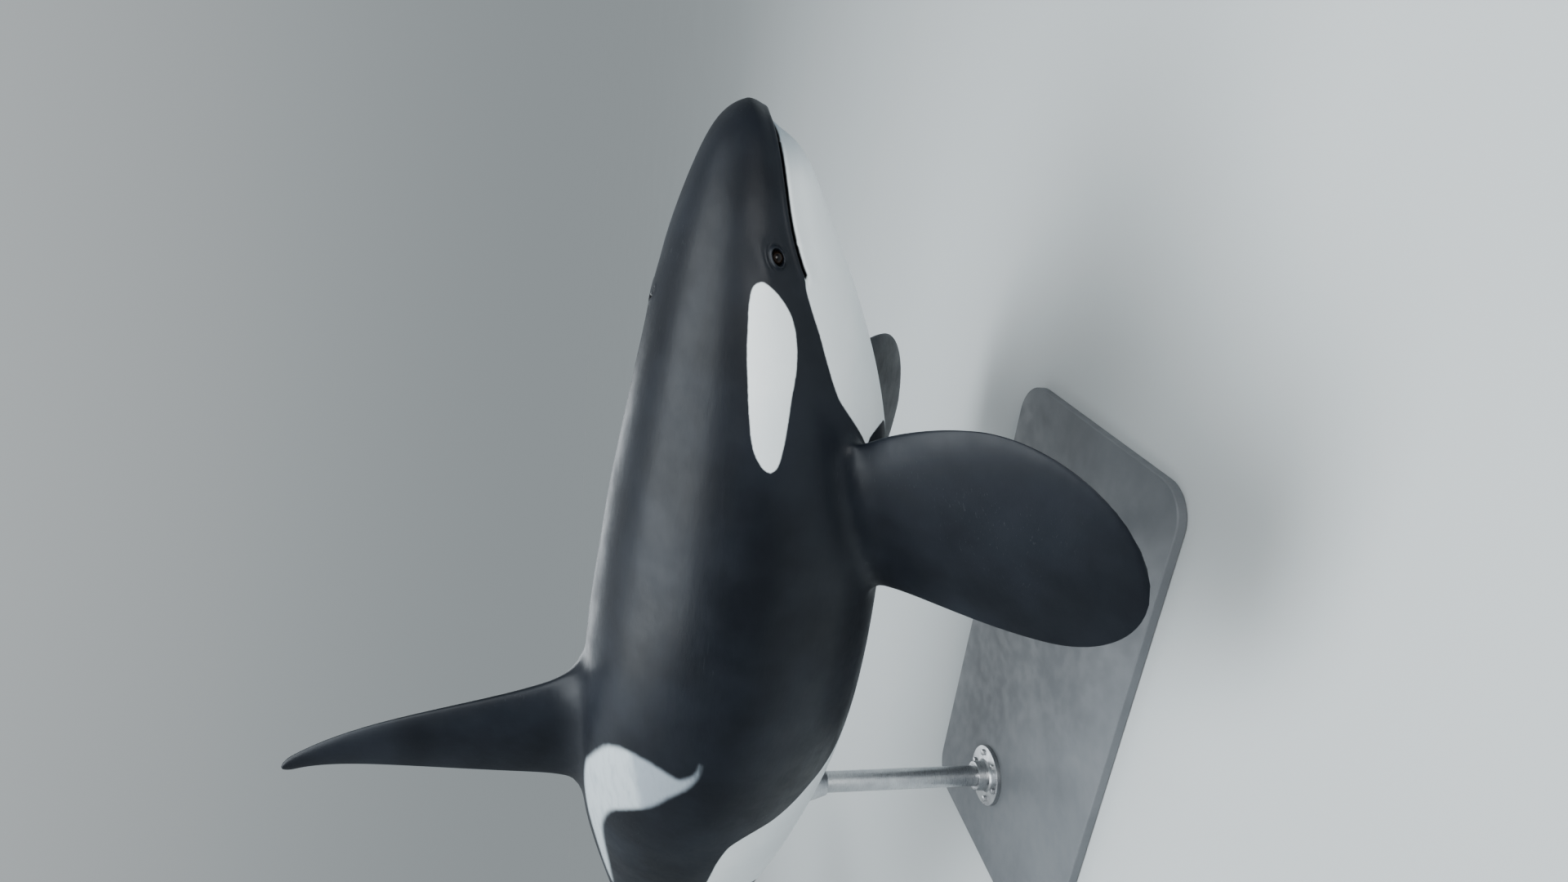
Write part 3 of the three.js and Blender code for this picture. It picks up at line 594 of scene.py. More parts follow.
def lofted(name, rows, first, last):
    """A closed piece through rows of points, each a loop, with a point at either end."""
    rows = np.array(rows)
    count, sides = rows.shape[:2]
    points = np.concatenate([[first], rows.reshape(-1, 3), [last]])
    ids = 1 + np.arange(count * sides).reshape(count, sides)
    beside = np.roll(ids, -1, 1)
    faces = quads(ids[:-1], ids[1:])
    faces += [(0, b, a) for a, b in zip(ids[0].tolist(), beside[0].tolist())]
    end = len(points) - 1
    faces += [(end, a, b) for a, b in zip(ids[-1].tolist(), beside[-1].tolist())]
    return closed_piece(name, points, faces)


def vectors(data, field):
    values = np.zeros(len(data) * 3, np.float32)
    data.foreach_get(field, values)
    return values.reshape(-1, 3).astype(float)


def coordinates(mesh):
    return vectors(mesh.vertices, "co")


def set_coordinates(mesh, points):
    mesh.vertices.foreach_set("co", points.astype(np.float32).ravel())
    mesh.update()


def set_values(mesh, name, values):
    mesh.attributes.new(name, "FLOAT", "POINT").data.foreach_set("value", values.astype(np.float32))


def shade_smooth(mesh):
    mesh.polygons.foreach_set("use_smooth", np.ones(len(mesh.polygons), bool))


# The body and its fins

def eye_frame(side):
    """Middle of an eye's opening on the skin, and the ways along, round and out."""
    angle = EYE_GIRTH if side > 0 else math.pi - EYE_GIRTH
    point = skin_point(EYE_STATION, angle)
    along = skin_point(EYE_STATION - 0.005, angle) - skin_point(EYE_STATION + 0.005, angle)
    upward = (skin_point(EYE_STATION, angle + 0.01) - skin_point(EYE_STATION, angle - 0.01)) * side
    along, upward = unit(along), unit(upward)
    return point, along, upward, unit(np.cross(along, upward) * -side)


def eye_offsets(points, side):
    """How far points lie ahead of, above and away from an eye, whose opening is tilted."""
    point, along, upward, _ = eye_frame(side)
    rest = points - point
    ahead, above = rest @ along, rest @ upward
    ahead, above = (ahead * math.cos(EYE_TILT) + above * math.sin(EYE_TILT),
                    above * math.cos(EYE_TILT) - ahead * math.sin(EYE_TILT))
    return ahead, above, np.linalg.norm(rest, axis=1)


def blowhole_distance(points):
    """Distance of points, seen from above, from the blowhole's crescent and from its middle."""
    middle = skin_point(BLOWHOLE_STATION, math.pi / 2)
    centre = middle + (BLOWHOLE_RADIUS, BLOWHOLE_OFFSET, 0)
    dx, dy = points[:, 0] - centre[0], points[:, 1] - centre[1]
    turn = np.arctan2(-dy, -dx)
    held = np.clip(turn, -BLOWHOLE_ARC, BLOWHOLE_ARC)
    near = np.hypot(dx + BLOWHOLE_RADIUS * np.cos(held), dy + BLOWHOLE_RADIUS * np.sin(held))
    whole = np.hypot(dx + BLOWHOLE_RADIUS / 2, dy)
    lower = points[:, 2] < middle[2] - BLOWHOLE_BELOW
    return np.where(lower, FAR, near), np.where(lower, FAR, whole)


def marking_distance(at, degrees):
    """Distance from the nearest edge of a marking, on the flat map."""
    points = flat_map(at, degrees)
    lines = (eye_patch_line, underside_line, saddle_line)
    return np.min([np.abs(inside_by(points, line)) for line in lines], 0)


def refine(mesh, shortest, chosen):
    """Splits the long edges of the faces that chosen picks by their middles, and rounds them
    to the skin again."""
    bm = bmesh.new()
    bm.from_mesh(mesh)
    middles = np.array([face.calc_center_median() for face in bm.faces])
    mask = chosen(middles)
    edges = {edge for face, wanted in zip(bm.faces, mask) if wanted
             for edge in face.edges if edge.calc_length() > shortest}
    before = len(bm.verts)
    bmesh.ops.subdivide_edges(bm, edges=list(edges), cuts=1, use_grid_fill=True)
    bm.to_mesh(mesh)
    bm.free()
    points = coordinates(mesh)
    at, _, _, angle, _ = body_places(points[before:])
    points[before:] = skin_point(at, angle)
    set_coordinates(mesh, points)


def near_features(points, lips, eyes, blowhole):
    at, _, height, _, _ = body_places(points)
    near = np.abs(height - mouth_height(np.clip(at, 0, GAPE))) < lips
    near &= at < GAPE + LIP_FADE + lips
    for side in (1, -1):
        near |= eye_offsets(points, side)[2] < eyes
    return near | (blowhole_distance(points)[0] < blowhole)


def near_markings(points):
    at, _, _, angle, _ = body_places(points)
    return marking_distance(at, flank_degrees(angle)) < MARKING_REACH


def build_body():
    stations = BODY_END * (np.arange(1, BODY_RINGS + 1) / BODY_RINGS) ** RING_POWER
    rows = skin_point(stations[:, None], turns_of(BODY_SIDES)[None, :])
    snout, stump = place(0, 0, -SNOUT_DROP), place(BODY_END + BODY_CAP, 0, 0)
    body = lofted("orca_skin", rows, snout, stump)
    refine(body.data, MARKING_EDGE, near_markings)
    for shortest, *reaches in FEATURE_ROUNDS:
        refine(body.data, shortest, lambda points: near_features(points, *reaches))
    return body


def fin_loops(front, rear, thickness):
    """Places across and off the face round a fin's sections, from the front edge round to it."""
    turn = turns_of(FIN_SIDES)
    share = (1 - np.cos(turn)) / 2
    bulge = np.sign(np.sin(turn)) * np.sqrt(share) * np.maximum(1 - share, 0) ** FIN_REAR_POWER
    across = front[:, None] + (rear - front)[:, None] * share
    return across, thickness[:, None] * FIN_FULLNESS * bulge


def row_shares(power):
    return (np.arange(FIN_ROWS + 1) / FIN_ROWS) ** power


def tapered(taper, share):
    root, tip, power = taper
    return lerp(root, tip, share**power)


def swept(foot, edge, rise):
    """Where an edge of the dorsal fin lies at shares of its height."""
    sweep, power, hook, hook_power = edge
    return foot + sweep * rise**power + hook * rise**hook_power


def build_dorsal_fin():
    share = 1 - (1 - np.arange(FIN_ROWS + 1) / FIN_ROWS) ** FIN_ROW_POWER
    height = lerp(FIN_FOOT, FIN_BACK_HEIGHT + FIN_HEIGHT * LAST_ROW, share)
    rise = np.clip((height - FIN_BACK_HEIGHT) / FIN_HEIGHT, 0, 1)
    flare = np.exp(-rise / FIN_FLARE_RISE)
    front = swept(FIN_FRONT, FIN_LEAD, rise) - FIN_FLARE_LENGTH * flare
    rear = swept(FIN_REAR, FIN_TRAIL, rise) + FIN_FLARE_LENGTH * flare
    past = np.maximum((rise - 1 + FIN_TIP_ROUND) / FIN_TIP_ROUND, 0)
    cut = (rear - front) / 2 * (1 - np.sqrt(1 - past * past))
    thickness = tapered(FIN_TAPER, rise) + FIN_FLARE_THICKNESS * flare
    at, side = fin_loops(front + cut, rear - cut, thickness)
    tip = place((front[-1] + rear[-1]) / 2, 0, FIN_BACK_HEIGHT + FIN_HEIGHT)
    foot = place((FIN_FRONT + FIN_REAR) / 2, 0, FIN_FOOT)
    return lofted("dorsal", place(at, side, height[:, None]), foot, tip)


def flipper_frame(name):
    """A flipper's root on the skin, and the ways out to its tip, back and off its face."""
    side = 1 if name == "left" else -1
    forward, left, up = heading(FLIPPER_STATION)
    down, ahead = FLIPPER_DOWN[name], FLIPPER_FORWARD[name]
    span = (side * math.cos(down) * math.cos(ahead) * left - math.sin(down) * up
            + math.cos(down) * math.sin(ahead) * forward)
    back = Vector(unit(-forward + (forward @ span) * span))
    back.rotate(Matrix.Rotation(-side * FLIPPER_TWIST[name], 3, Vector(span)))
    back = np.array(back)
    face = np.cross(span, back) * -side
    root = skin_point(FLIPPER_STATION, FLIPPER_GIRTH if side > 0 else math.pi - FLIPPER_GIRTH)
    return root, span, back, face


def build_flipper(name):
    root, span, back, face = flipper_frame(name)
    along = lerp(-FLIPPER_SUNK, FLIPPER_LENGTH * LAST_ROW, row_shares(FLIPPER_ROW_POWER))
    out = np.maximum(along / FLIPPER_LENGTH, 0)
    past = np.maximum((out - FLIPPER_WIDEST) / (1 - FLIPPER_WIDEST), 0)
    grow = np.sin(math.pi / 2 * np.minimum(out / FLIPPER_WIDEST, 1))
    fill = lerp(FLIPPER_ROOT_SHARE, 1, grow) * np.sqrt(1 - past * past)
    flare = np.exp(-out / FLIPPER_FLARE_FADE)
    half = FLIPPER_WIDTH / 2 * fill + FLIPPER_FLARE * flare
    middle = FLIPPER_SWEEP * out * out
    thickness = tapered(FLIPPER_TAPER, out) * (1 - past * past) ** 0.25
    across, off = fin_loops(middle - half, middle + half, thickness + FLIPPER_FLARE * flare)
    rows = root + along[:, None, None] * span + across[..., None] * back + off[..., None] * face
    return lofted(f"flipper_{name}", rows, root - FLIPPER_SUNK * span,
                  root + FLIPPER_LENGTH * span + FLIPPER_SWEEP * back)


def fluke_edges(out):
    """Front and rear edge of the flukes, and their lift, at distances from the midline."""
    share = np.clip(out / FLUKE_SPAN, 0, 1)
    sweep = FLUKE_STRAIGHT * share + (1 - FLUKE_STRAIGHT) * share**FLUKE_HOOK_POWER
    front = lerp(FLUKE_FRONT, FLUKE_TIP_LEAD, sweep)
    notch = FLUKE_NOTCH_DEPTH * bell(out / FLUKE_NOTCH_WIDTH)
    edge = FLUKE_TRAIL + FLUKE_TRAIL_WAVE * np.sin(math.pi * np.minimum(FLUKE_WAVES * share, 2))
    rear = lerp(edge - notch, FLUKE_TIP_LEAD + FLUKE_TIP_LENGTH, share**FLUKE_TIP_POWER)
    return front, rear, -FLUKE_CURL * share**FLUKE_CURL_POWER


def build_flukes():
    share = row_shares(FLUKE_ROW_POWER) * LAST_ROW
    share = np.concatenate([-share[:0:-1], share])
    out = np.abs(share) * FLUKE_SPAN
    front, rear, lift = fluke_edges(out)
    thickness = tapered(FLUKE_TAPER, np.abs(share)) + FLUKE_FLARE * np.exp(-out / FLUKE_FLARE_FADE)
    at, off = fin_loops(front, rear, thickness)
    rows = place(at, (share * FLUKE_SPAN)[:, None], lift[:, None] + off)
    tip = FLUKE_TIP_LEAD + FLUKE_TIP_LENGTH / 2
    tips = [place(tip, side * FLUKE_SPAN, -FLUKE_CURL) for side in (-1, 1)]
    return lofted("flukes", rows, *tips)


def grow_on(body, fins):
    """Makes the body and its fins one closed skin."""
    for fin in fins:
        union = body.modifiers.new("grow", "BOOLEAN")
        union.operation = "UNION"
        union.solver = "MANIFOLD"
        union.object = fin
    graph = bpy.context.evaluated_depsgraph_get()
    mesh = bpy.data.meshes.new_from_object(body.evaluated_get(graph))
    body.modifiers.clear()
    body.data = mesh


def tree_of(points):
    tree = kdtree.KDTree(len(points))
    for i, point in enumerate(points):
        tree.insert(point, i)
    tree.balance()
    return tree


def distances(tree, points):
    return np.array([tree.find(point)[2] for point in points])


def weld_and_round(mesh, known):
    """Welds the slivers along the fins' seams and rounds the seams into fillets.
    The seams hold the points that were in no piece before the fins grew on."""
    points = coordinates(mesh)
    seam = tree_of(points[distances(tree_of(known), points) > MET])
    bm = bmesh.new()
    bm.from_mesh(mesh)
    bm.verts.ensure_lookup_table()
    close = [bm.verts[i] for i in np.flatnonzero(distances(seam, points) < 3 * WELD)]
    bmesh.ops.remove_doubles(bm, verts=close, dist=WELD)
    bmesh.ops.dissolve_degenerate(bm, edges=bm.edges, dist=MET)
    bm.to_mesh(mesh)
    bm.free()
    points = coordinates(mesh)
    weight = bell(distances(seam, points) / FILLET_REACH)
    edges = np.zeros(len(mesh.edges) * 2, np.int32)
    mesh.edges.foreach_get("vertices", edges)
    a, b = edges.reshape(-1, 2).T
    degree = np.bincount(a, minlength=len(points)) + np.bincount(b, minlength=len(points))
    for _ in range(FILLET_STEPS):
        total = np.zeros_like(points)
        np.add.at(total, a, points[b])
        np.add.at(total, b, points[a])
        points += 0.5 * weight[:, None] * (total / degree[:, None] - points)
    set_coordinates(mesh, points)


def waves(at, angle):
    """Slow swells of muscle and blubber under the skin, between about -1 and 1."""
    swell = np.sin(5.1 * at + 2.2 * np.sin(2 * angle)) * np.cos(3 * angle + 1.3 * at)
    swell += 0.6 * np.sin(9.7 * at - 1.7 + 3 * np.cos(angle)) * np.sin(5 * angle + 0.4)
    return swell / 1.6


def press_details(mesh):
    """Moves the skin along its normals for the mouth, eyelids, blowhole, folds and slits."""
    points = coordinates(mesh)
    at, left, height, angle, reach = body_places(points)
    degrees = flank_degrees(angle)
    on_body = ease((1.06 - reach) / 0.05)
    shift = SWELL * waves(at, angle) * on_body
    shift = shift * ease((at - SWELL_START) / SWELL_FADE) * ease((SWELL_END - at) / SWELL_FADE)

    # the mouth: a groove with rounded lips, which runs out behind the corner
    below = height - mouth_height(np.clip(at, 0, GAPE))
    below += CORNER_DROP * ease((at - GAPE + 0.03) / 0.1)
    run_out = 1 - ease((at - GAPE) / LIP_FADE)
    shift -= LIP_DEPTH * bell(below / LIP_WIDTH) * run_out
    behind_tip = ease((at - JAW_FOLD_START) / JAW_FOLD_FADE)
    for (rise, over, wide), grow in ((UPPER_LIP, 1), (LOWER_LIP, 1), (JAW_FOLD, behind_tip)):
        shift += rise * bell((below - over) / wide) * grow * run_out
    from_lip = np.linalg.norm(points - place(SNOUT_MIDDLE[0], 0, SNOUT_MIDDLE[1]), axis=1)
    shift += SNOUT_FILL * bell(from_lip / SNOUT_FILL_REACH) * ease((below + 0.002) / 0.012)
    shift -= JAW_SET_BACK * bell(from_lip / JAW_SET_BACK_REACH) * ease((0.004 - below) / 0.012)

    # the eyes: a sunk opening inside a ridge of lids, a brow above and folds round them
    for side in (1, -1):
        ahead, above, distance = eye_offsets(points, side)
        ring = np.hypot(ahead / EYE_OPENING[0], above / EYE_OPENING[1])
        near = (distance < EYE_REACH) * on_body
        shift -= near * SOCKET_DEPTH * (1 - ease((ring - SOCKET_EDGE) / SOCKET_FADE))
        for rise, half_length, over, half_width in (BROW, EYE_HOLLOW):
            shift += near * rise * bell(ahead / half_length) * bell((above - over) / half_width)
        ripple = 1 + EYE_FOLD_RIPPLE * np.sin(9 * ahead / 0.05)
        for (rise, size, wide), grow in ((EYE_LID, 1), (EYE_FOLD, ripple), (OUTER_EYE_FOLD, 1)):
            shift += near * rise * bell((ring - size) / wide) * grow

    # the blowhole: a crescent slot with raised rims on a low mound
    slot_away, middle_away = blowhole_distance(points)
    shift += BLOWHOLE_MOUND * bell(middle_away / BLOWHOLE_MOUND_REACH)
    rise, away, wide = BLOWHOLE_RIM
    shift += rise * bell((slot_away - away) / wide)
    shift -= BLOWHOLE_DEPTH * bell(slot_away / BLOWHOLE_HALF_WIDTH)

    # the belly: navel, and the long slit and short cleft toward the tail
    across = (degrees + 90) / 180 * math.pi * mean_radius(at)
    for start, end, depth, wide in BELLY_CLEFTS:
        away = np.hypot(across, np.maximum(np.maximum(start - at, at - end), 0))
        cleft = CLEFT_RIM * bell((away - CLEFT_RIM_PLACE * wide) / wide) - bell(away / wide)
        shift += depth * cleft * (degrees < CLEFT_DEGREES)
    set_coordinates(mesh, points + shift[:, None] * vectors(mesh.vertex_normals, "vector"))
    return at, left, height, angle, reach, below, run_out


def paint_markings(mesh, places):
    """Values on the skin's points: how far each lies inside the white and the saddle, and from
    the mouth and the blowhole."""
    at, left, height, angle, reach, below, run_out = places
    degrees = flank_degrees(angle)
    flat = flat_map(at, degrees)
    under = inside_by(flat, underside_line)
    behind = ease((at - GAPE - LIP_RELEASE_START) / LIP_RELEASE_LENGTH)
    lip = -below - LIP_MARGIN + LIP_RELEASE * behind
    white = np.maximum(inside_by(flat, eye_patch_line), np.minimum(under, lip))
    proud = (reach - 1) * mean_radius(at)
    white = np.minimum(white, WHITE_OFF_BODY[0] - WHITE_OFF_BODY[1] * proud)
    out = np.abs(left)
    front, rear, lift = fluke_edges(out)
    fluke_white = np.minimum.reduce([
        (at - front) * FLUKE_FRONT_SLANT - FLUKE_MARGIN, rear - at - FLUKE_MARGIN,
        out - FLUKE_MIDDLE_MARGIN, (FLUKE_SPAN - FLUKE_TIP_MARGIN) - out,
        (lift - height) * FLUKE_UNDERSIDE,
    ])
    white = np.where((at > FLUKE_FRONT) & (out > FLUKE_PAINT_START), fluke_white, white)
    set_values(mesh, "white", white)
    saddle = inside_by(flat, saddle_line)
    set_values(mesh, "saddle", np.minimum(saddle, SADDLE_OFF_BODY[0] - SADDLE_OFF_BODY[1] * proud))
    # the saddle's lower part, past a line, is painted darker, partly as painted shade
    start, end = (flat_map(mark[0] * BODY_LENGTH, mark[1]) for mark in SADDLE_LOWER_SHADE_EDGE)
    along = unit(end - start)
    set_values(mesh, "shaded_lower_saddle", (flat - start) @ np.array([along[1], -along[0]]))
    # the tip of the lower jaw is painted greyer, partly as painted shade
    set_values(mesh, "chin", ease((at - CHIN_START) / CHIN_LENGTH))
    mouth = np.clip(below, -FEATURE_LIMIT, FEATURE_LIMIT)
    set_values(mesh, "mouth", np.where(reach < BODY_LIMIT, mouth, FEATURE_LIMIT))
    set_values(mesh, "mouth_end", 1 - run_out)
    blowhole = blowhole_distance(coordinates(mesh))[0]
    set_values(mesh, "blowhole", np.minimum(blowhole, FEATURE_LIMIT))


def build_skin():
    body = build_body()
    fins = [build_dorsal_fin(), build_flipper("left"), build_flipper("right"), build_flukes()]
    known = np.concatenate([coordinates(piece.data) for piece in (body, *fins)])
    grow_on(body, fins)
    for fin in fins:
        bpy.data.objects.remove(fin)
    weld_and_round(body.data, known)
    places = press_details(body.data)
    paint_markings(body.data, places)
    shade_smooth(body.data)
    return body


# Materials

class Nodes:
    """Short ways to add nodes to one material."""

    def __init__(self, tree, shader=None):
        self.tree, self.shader = tree, shader
        self.place = self.add("ShaderNodeTexCoord").outputs["Object"]

    def add(self, kind, **settings):
        node = self.tree.nodes.new(kind)
        for name, value in settings.items():
            setattr(node, name, value)
        return node

    def feed(self, socket, value):
        if isinstance(value, bpy.types.NodeSocket):
            self.tree.links.new(value, socket)
        else:
            socket.default_value = value

    def value(self, name):
        return self.add("ShaderNodeAttribute", attribute_name=name).outputs["Fac"]

    def math(self, operation, a, b=0.0):
        node = self.add("ShaderNodeMath", operation=operation)
        self.feed(node.inputs[0], a)
        self.feed(node.inputs[1], b)
        return node.outputs[0]

    def stretched(self, scale):
        """Places for a noise with its own scale along each axis."""
        node = self.add("ShaderNodeMapping")
        self.feed(node.inputs["Vector"], self.place)
        node.inputs["Scale"].default_value = scale
        return node.outputs[0]

    def noise(self, scale, detail=3.0, roughness=0.5, place=None):
        node = self.add("ShaderNodeTexNoise")
        self.feed(node.inputs["Vector"], place or self.place)
        node.inputs["Scale"].default_value = scale
        node.inputs["Detail"].default_value = detail
        node.inputs["Roughness"].default_value = roughness
        return node.outputs["Fac"]

    def step(self, value, low, high, to_low=0.0, to_high=1.0):
        """A smooth step between two values as another goes from low to high."""
        node = self.add("ShaderNodeMapRange", interpolation_type="SMOOTHSTEP")
        self.feed(node.inputs["Value"], value)
        sockets = "From Min", "From Max", "To Min", "To Max"
        for socket, number in zip(sockets, (low, high, to_low, to_high)):
            node.inputs[socket].default_value = number
        return node.outputs[0]

    def mix(self, share, a, b):
        node = self.add("ShaderNodeMix", data_type="RGBA")
        self.feed(node.inputs["Factor"], share)
        self.feed(node.inputs["A"], a)
        self.feed(node.inputs["B"], b)
        return node.outputs["Result"]

    def shake(self, value, size):
        """A noise about zero."""
        return self.math("MULTIPLY", self.math("SUBTRACT", value, 0.5), size)

    def bump(self, height, distance, under=None):
        node = self.add("ShaderNodeBump")
        self.feed(node.inputs["Height"], height)
        node.inputs["Distance"].default_value = distance
        if under is not None:
            self.feed(node.inputs["Normal"], under)
        return node.outputs[0]

    def cover(self, colour, roughness, normal=None):
        """Feeds the shader."""
        self.feed(self.shader.inputs["Base Color"], colour)
        self.feed(self.shader.inputs["Roughness"], roughness)
        if normal is not None:
            self.feed(self.shader.inputs["Normal"], normal)


def material(name, settings):
    """A new material and its nodes. What is the same all over is set on the shader's sockets."""
    made = bpy.data.materials.new(name)
    made.use_nodes = True
    shader = made.node_tree.nodes["Principled BSDF"]
    for socket, value in settings.items():
        shader.inputs[socket].default_value = value
    return made, Nodes(made.node_tree, shader)


def skin_material():
    made, n = material("orca_skin", SKIN_GLOSS)
    fine, broad = n.noise(GRAIN, 4.0), n.noise(TONES, 4.0)
    streaks = n.noise(1.0, 3.0, place=n.stretched(STREAKS))

    # black skin, a little blue, with slow changes of tone and a few pale rake marks
    black = n.mix(n.step(broad, 0.3, 0.72), BLACK_DEEP, BLACK_LIGHT)
    rakes = n.noise(1.0, 2.0, 0.4, place=n.stretched(RAKES))
    where = n.step(n.noise(RAKE_PATCHES, 2.0), 0.56, 0.66)
    rakes = n.math("MULTIPLY", n.step(rakes, 0.66, 0.74), where)
    black = n.mix(n.math("MULTIPLY", rakes, RAKE_SHARE), black, RAKE_GREY)

    # the saddle: soft edged, darker toward its lower tip, partly as painted shade
    ragged = n.math("ADD", n.value("saddle"), n.shake(streaks, SADDLE_RAG))
    saddle = n.step(ragged, *SADDLE_EDGE)
    lower = n.step(n.value("shaded_lower_saddle"), -SADDLE_BLEND, SADDLE_BLEND)
    saddle_tone = n.mix(lower, SADDLE_LIGHT, SADDLE_DARK_AND_SHADED)
    saddle_tone = n.mix(n.step(streaks, 0.4, 0.75, 0.0, 0.35), saddle_tone, SADDLE_SHADE)
    colour = n.mix(saddle, black, saddle_tone)

    # the white: crisp edged, greyer at the tip of the lower jaw, partly as painted shade
    wobbly = n.math("ADD", n.value("white"), n.shake(fine, WHITE_WOBBLE))
    white = n.step(wobbly, -WHITE_EDGE, WHITE_EDGE)
    white_tone = n.mix(n.step(broad, 0.3, 0.75, 0.0, 0.5), WHITE_BRIGHT, WHITE_SHADE)
    white_tone = n.mix(n.value("chin"), CHIN_GREY_AND_SHADE, white_tone)
    colour = n.mix(white, colour, white_tone)

    # the mouth's groove, which ends behind its corner, and the blowhole's slot, painted near-black
    # as shade in the hollows
    past_end = n.math("MULTIPLY", n.value("mouth_end"), GROOVE_END)
    beside = n.math("ADD", n.math("ABSOLUTE", n.value("mouth")), past_end)
    groove = n.step(beside, *GROOVE_EDGE, 1.0, 0.0)
    slot = n.step(n.value("blowhole"), *SLOT_EDGE, 1.0, 0.0)
    colour = n.mix(n.math("MAXIMUM", groove, slot), colour, HOLLOW_PAINTED_SHADE)

    roughness = n.step(n.noise(GLOSS_PATCHES, 5.0, 0.6), 0.3, 0.7, *SKIN_ROUGHNESS)
    roughness = n.math("ADD", roughness, n.math("MULTIPLY", fine, GRAIN_ROUGHNESS))
    pores = n.bump(n.noise(PORES, 3.0, 0.6), PORE_HEIGHT)
    creases = n.bump(n.noise(1.0, 3.0, 0.55, place=n.stretched(CREASES)), CREASE_HEIGHT, pores)
    n.cover(colour, roughness, n.bump(n.math("SUBTRACT", 1.0, rakes), RAKE_DEPTH, creases))
    return made


def eye_material():
    made, n = material("orca_eye", EYE_GLOSS)
    gaze = n.value("gaze")
    streaks = n.noise(1.0, 2.0, place=n.stretched(IRIS_STREAKS))
    iris = n.mix(n.step(streaks, 0.35, 0.7), IRIS_DARK, IRIS_LIGHT)
    colour = n.mix(n.step(gaze, *PUPIL_EDGE), PUPIL, iris)
    colour = n.mix(n.step(gaze, *IRIS_EDGE), colour, EYE_WHITE)
    n.cover(colour, n.step(n.noise(EYE_GRAIN), 0.3, 0.7, *EYE_ROUGHNESS))
    return made


def steel_material():
    made, n = material("brushed_steel", STEEL_GLOSS)
    brush = n.noise(1.0, 3.0, place=n.stretched(STEEL_BRUSH))
    colour = n.mix(n.step(n.noise(STEEL_PATCHES, 4.0), 0.3, 0.75), STEEL_LIGHT, STEEL_DARK)
    n.cover(colour, n.step(brush, 0.25, 0.75, *STEEL_ROUGHNESS), n.bump(brush, BRUSH_DEPTH))
    return made


def paint_material():
    made, n = material("stand_paint", {})
    colour = n.mix(n.step(n.noise(PAINT_TONES, 5.0), 0.3, 0.7), PAINT_LIGHT, PAINT_DARK)
    roughness = n.step(n.noise(PAINT_PATCHES, 4.0), 0.3, 0.7, *PAINT_ROUGHNESS)
    n.cover(colour, roughness, n.bump(n.noise(PAINT_PEEL, 2.0), PAINT_PEEL_HEIGHT))
    return made


def floor_material():
    made, n = material("floor", FLOOR_GLOSS)
    colour = n.mix(n.noise(FLOOR_TONES, 4.0), FLOOR_LIGHT, FLOOR_DARK)
    n.cover(colour, n.step(n.noise(FLOOR_PATCHES), 0.3, 0.7, *FLOOR_ROUGHNESS))
    return made


# Eyes and stand

def dress(piece, finish, slot, *nodes):
    """Gives a piece its finish and lets it stand for solids."""
    piece.data.materials.clear()
    piece.data.materials.append(finish)
    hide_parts(*nodes)
    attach(piece, "root")


def build_eye(name, side):
    """An eyeball with a slightly swollen cornea, and the angle from its gaze at every point."""
    point, along, upward, out = eye_frame(side)
    centre = point - EYE_SUNK * out
    polar = math.pi * np.arange(1, EYE_ROWS) / EYE_ROWS
    turn = turns_of(EYE_SIDES)
    radius = EYE_RADIUS + CORNEA * bell(polar / CORNEA_REACH)
    across = (radius * np.sin(polar))[:, None, None]
    rows = (centre + across * (np.cos(turn)[:, None] * along + np.sin(turn)[:, None] * upward)
            + (radius * np.cos(polar))[:, None, None] * out)
    front = centre + (EYE_RADIUS + CORNEA) * out
    eye = lofted(name, rows, front, centre - EYE_RADIUS * out)
    rest = coordinates(eye.data) - centre
    ahead, above, off = rest @ along, rest @ upward, rest @ out
    across = np.hypot(ahead * PUPIL_SHAPE[0], above * PUPIL_SHAPE[1])
    set_values(eye.data, "gaze", np.arctan2(across, off))
    shade_smooth(eye.data)
    return eye


def rounded(profile, radius):
    """A profile of (radius, height) with its corners rounded."""
    line = []
    profile = np.array(profile, float)
    for i, corner in enumerate(profile):
        to_before, to_after = profile[i - 1] - corner, profile[(i + 1) % len(profile)] - corner
        cut = min(radius, 0.4 * np.linalg.norm(to_before), 0.4 * np.linalg.norm(to_after))
        start, end = corner + unit(to_before) * cut, corner + unit(to_after) * cut
        for k in range(BEVEL_STEPS + 1):
            share = k / BEVEL_STEPS
            rest = 1 - share
            line.append(rest**2 * start + 2 * share * rest * corner + share**2 * end)
    return np.array(line)


def ring_piece(name, profile, x, y, z):
    """A turned ring: its profile swept round an upright axis, closed on itself."""
    line = rounded(profile, RING_ROUND)
    turn = turns_of(RING_SIDES)
    rows = np.stack([
        x + line[:, None, 0] * np.cos(turn), y + line[:, None, 0] * np.sin(turn),
        z + line[:, None, 1] + 0 * turn,
    ], -1)
    ids = np.arange(line.shape[0] * RING_SIDES).reshape(-1, RING_SIDES)
    piece = closed_piece(name, rows.reshape(-1, 3), quads(ids, np.roll(ids, -1, 0)))
    shade_smooth(piece.data)
    return piece


def belly_height(x, y):
    """Height of the skin's underside over points of the floor."""
    low, high = (np.full(x.shape, limit) for limit in BELLY_RANGE)
    for _ in range(HALVINGS):
        middle = (low + high) / 2
        outside = body_places(np.stack([x, y, middle], -1))[-1] > 1
        low, high = np.where(outside, middle, low), np.where(outside, high, middle)
    return low


def build_bolt(name, x, y, z):
    """A six-sided bolt head with a chamfered top and a domed middle."""
    rows = []
    half_side = math.pi / 6
    for share, height, six_sided in BOLT_ROWS:
        loop = []
        for turn in turns_of(BOLT_SIDES):
            flat = (turn + half_side) % (2 * half_side) - half_side
            shape = lerp(1, math.cos(half_side) / math.cos(flat), six_sided)
            reach = BOLT_RADIUS * share * shape
            loop.append((x + reach * math.cos(turn), y + reach * math.sin(turn),
                         z + BOLT_HEIGHT * height))
        rows.append(loop)
    return lofted(name, rows, (x, y, z), (x, y, z + BOLT_HEIGHT * BOLT_TOP))


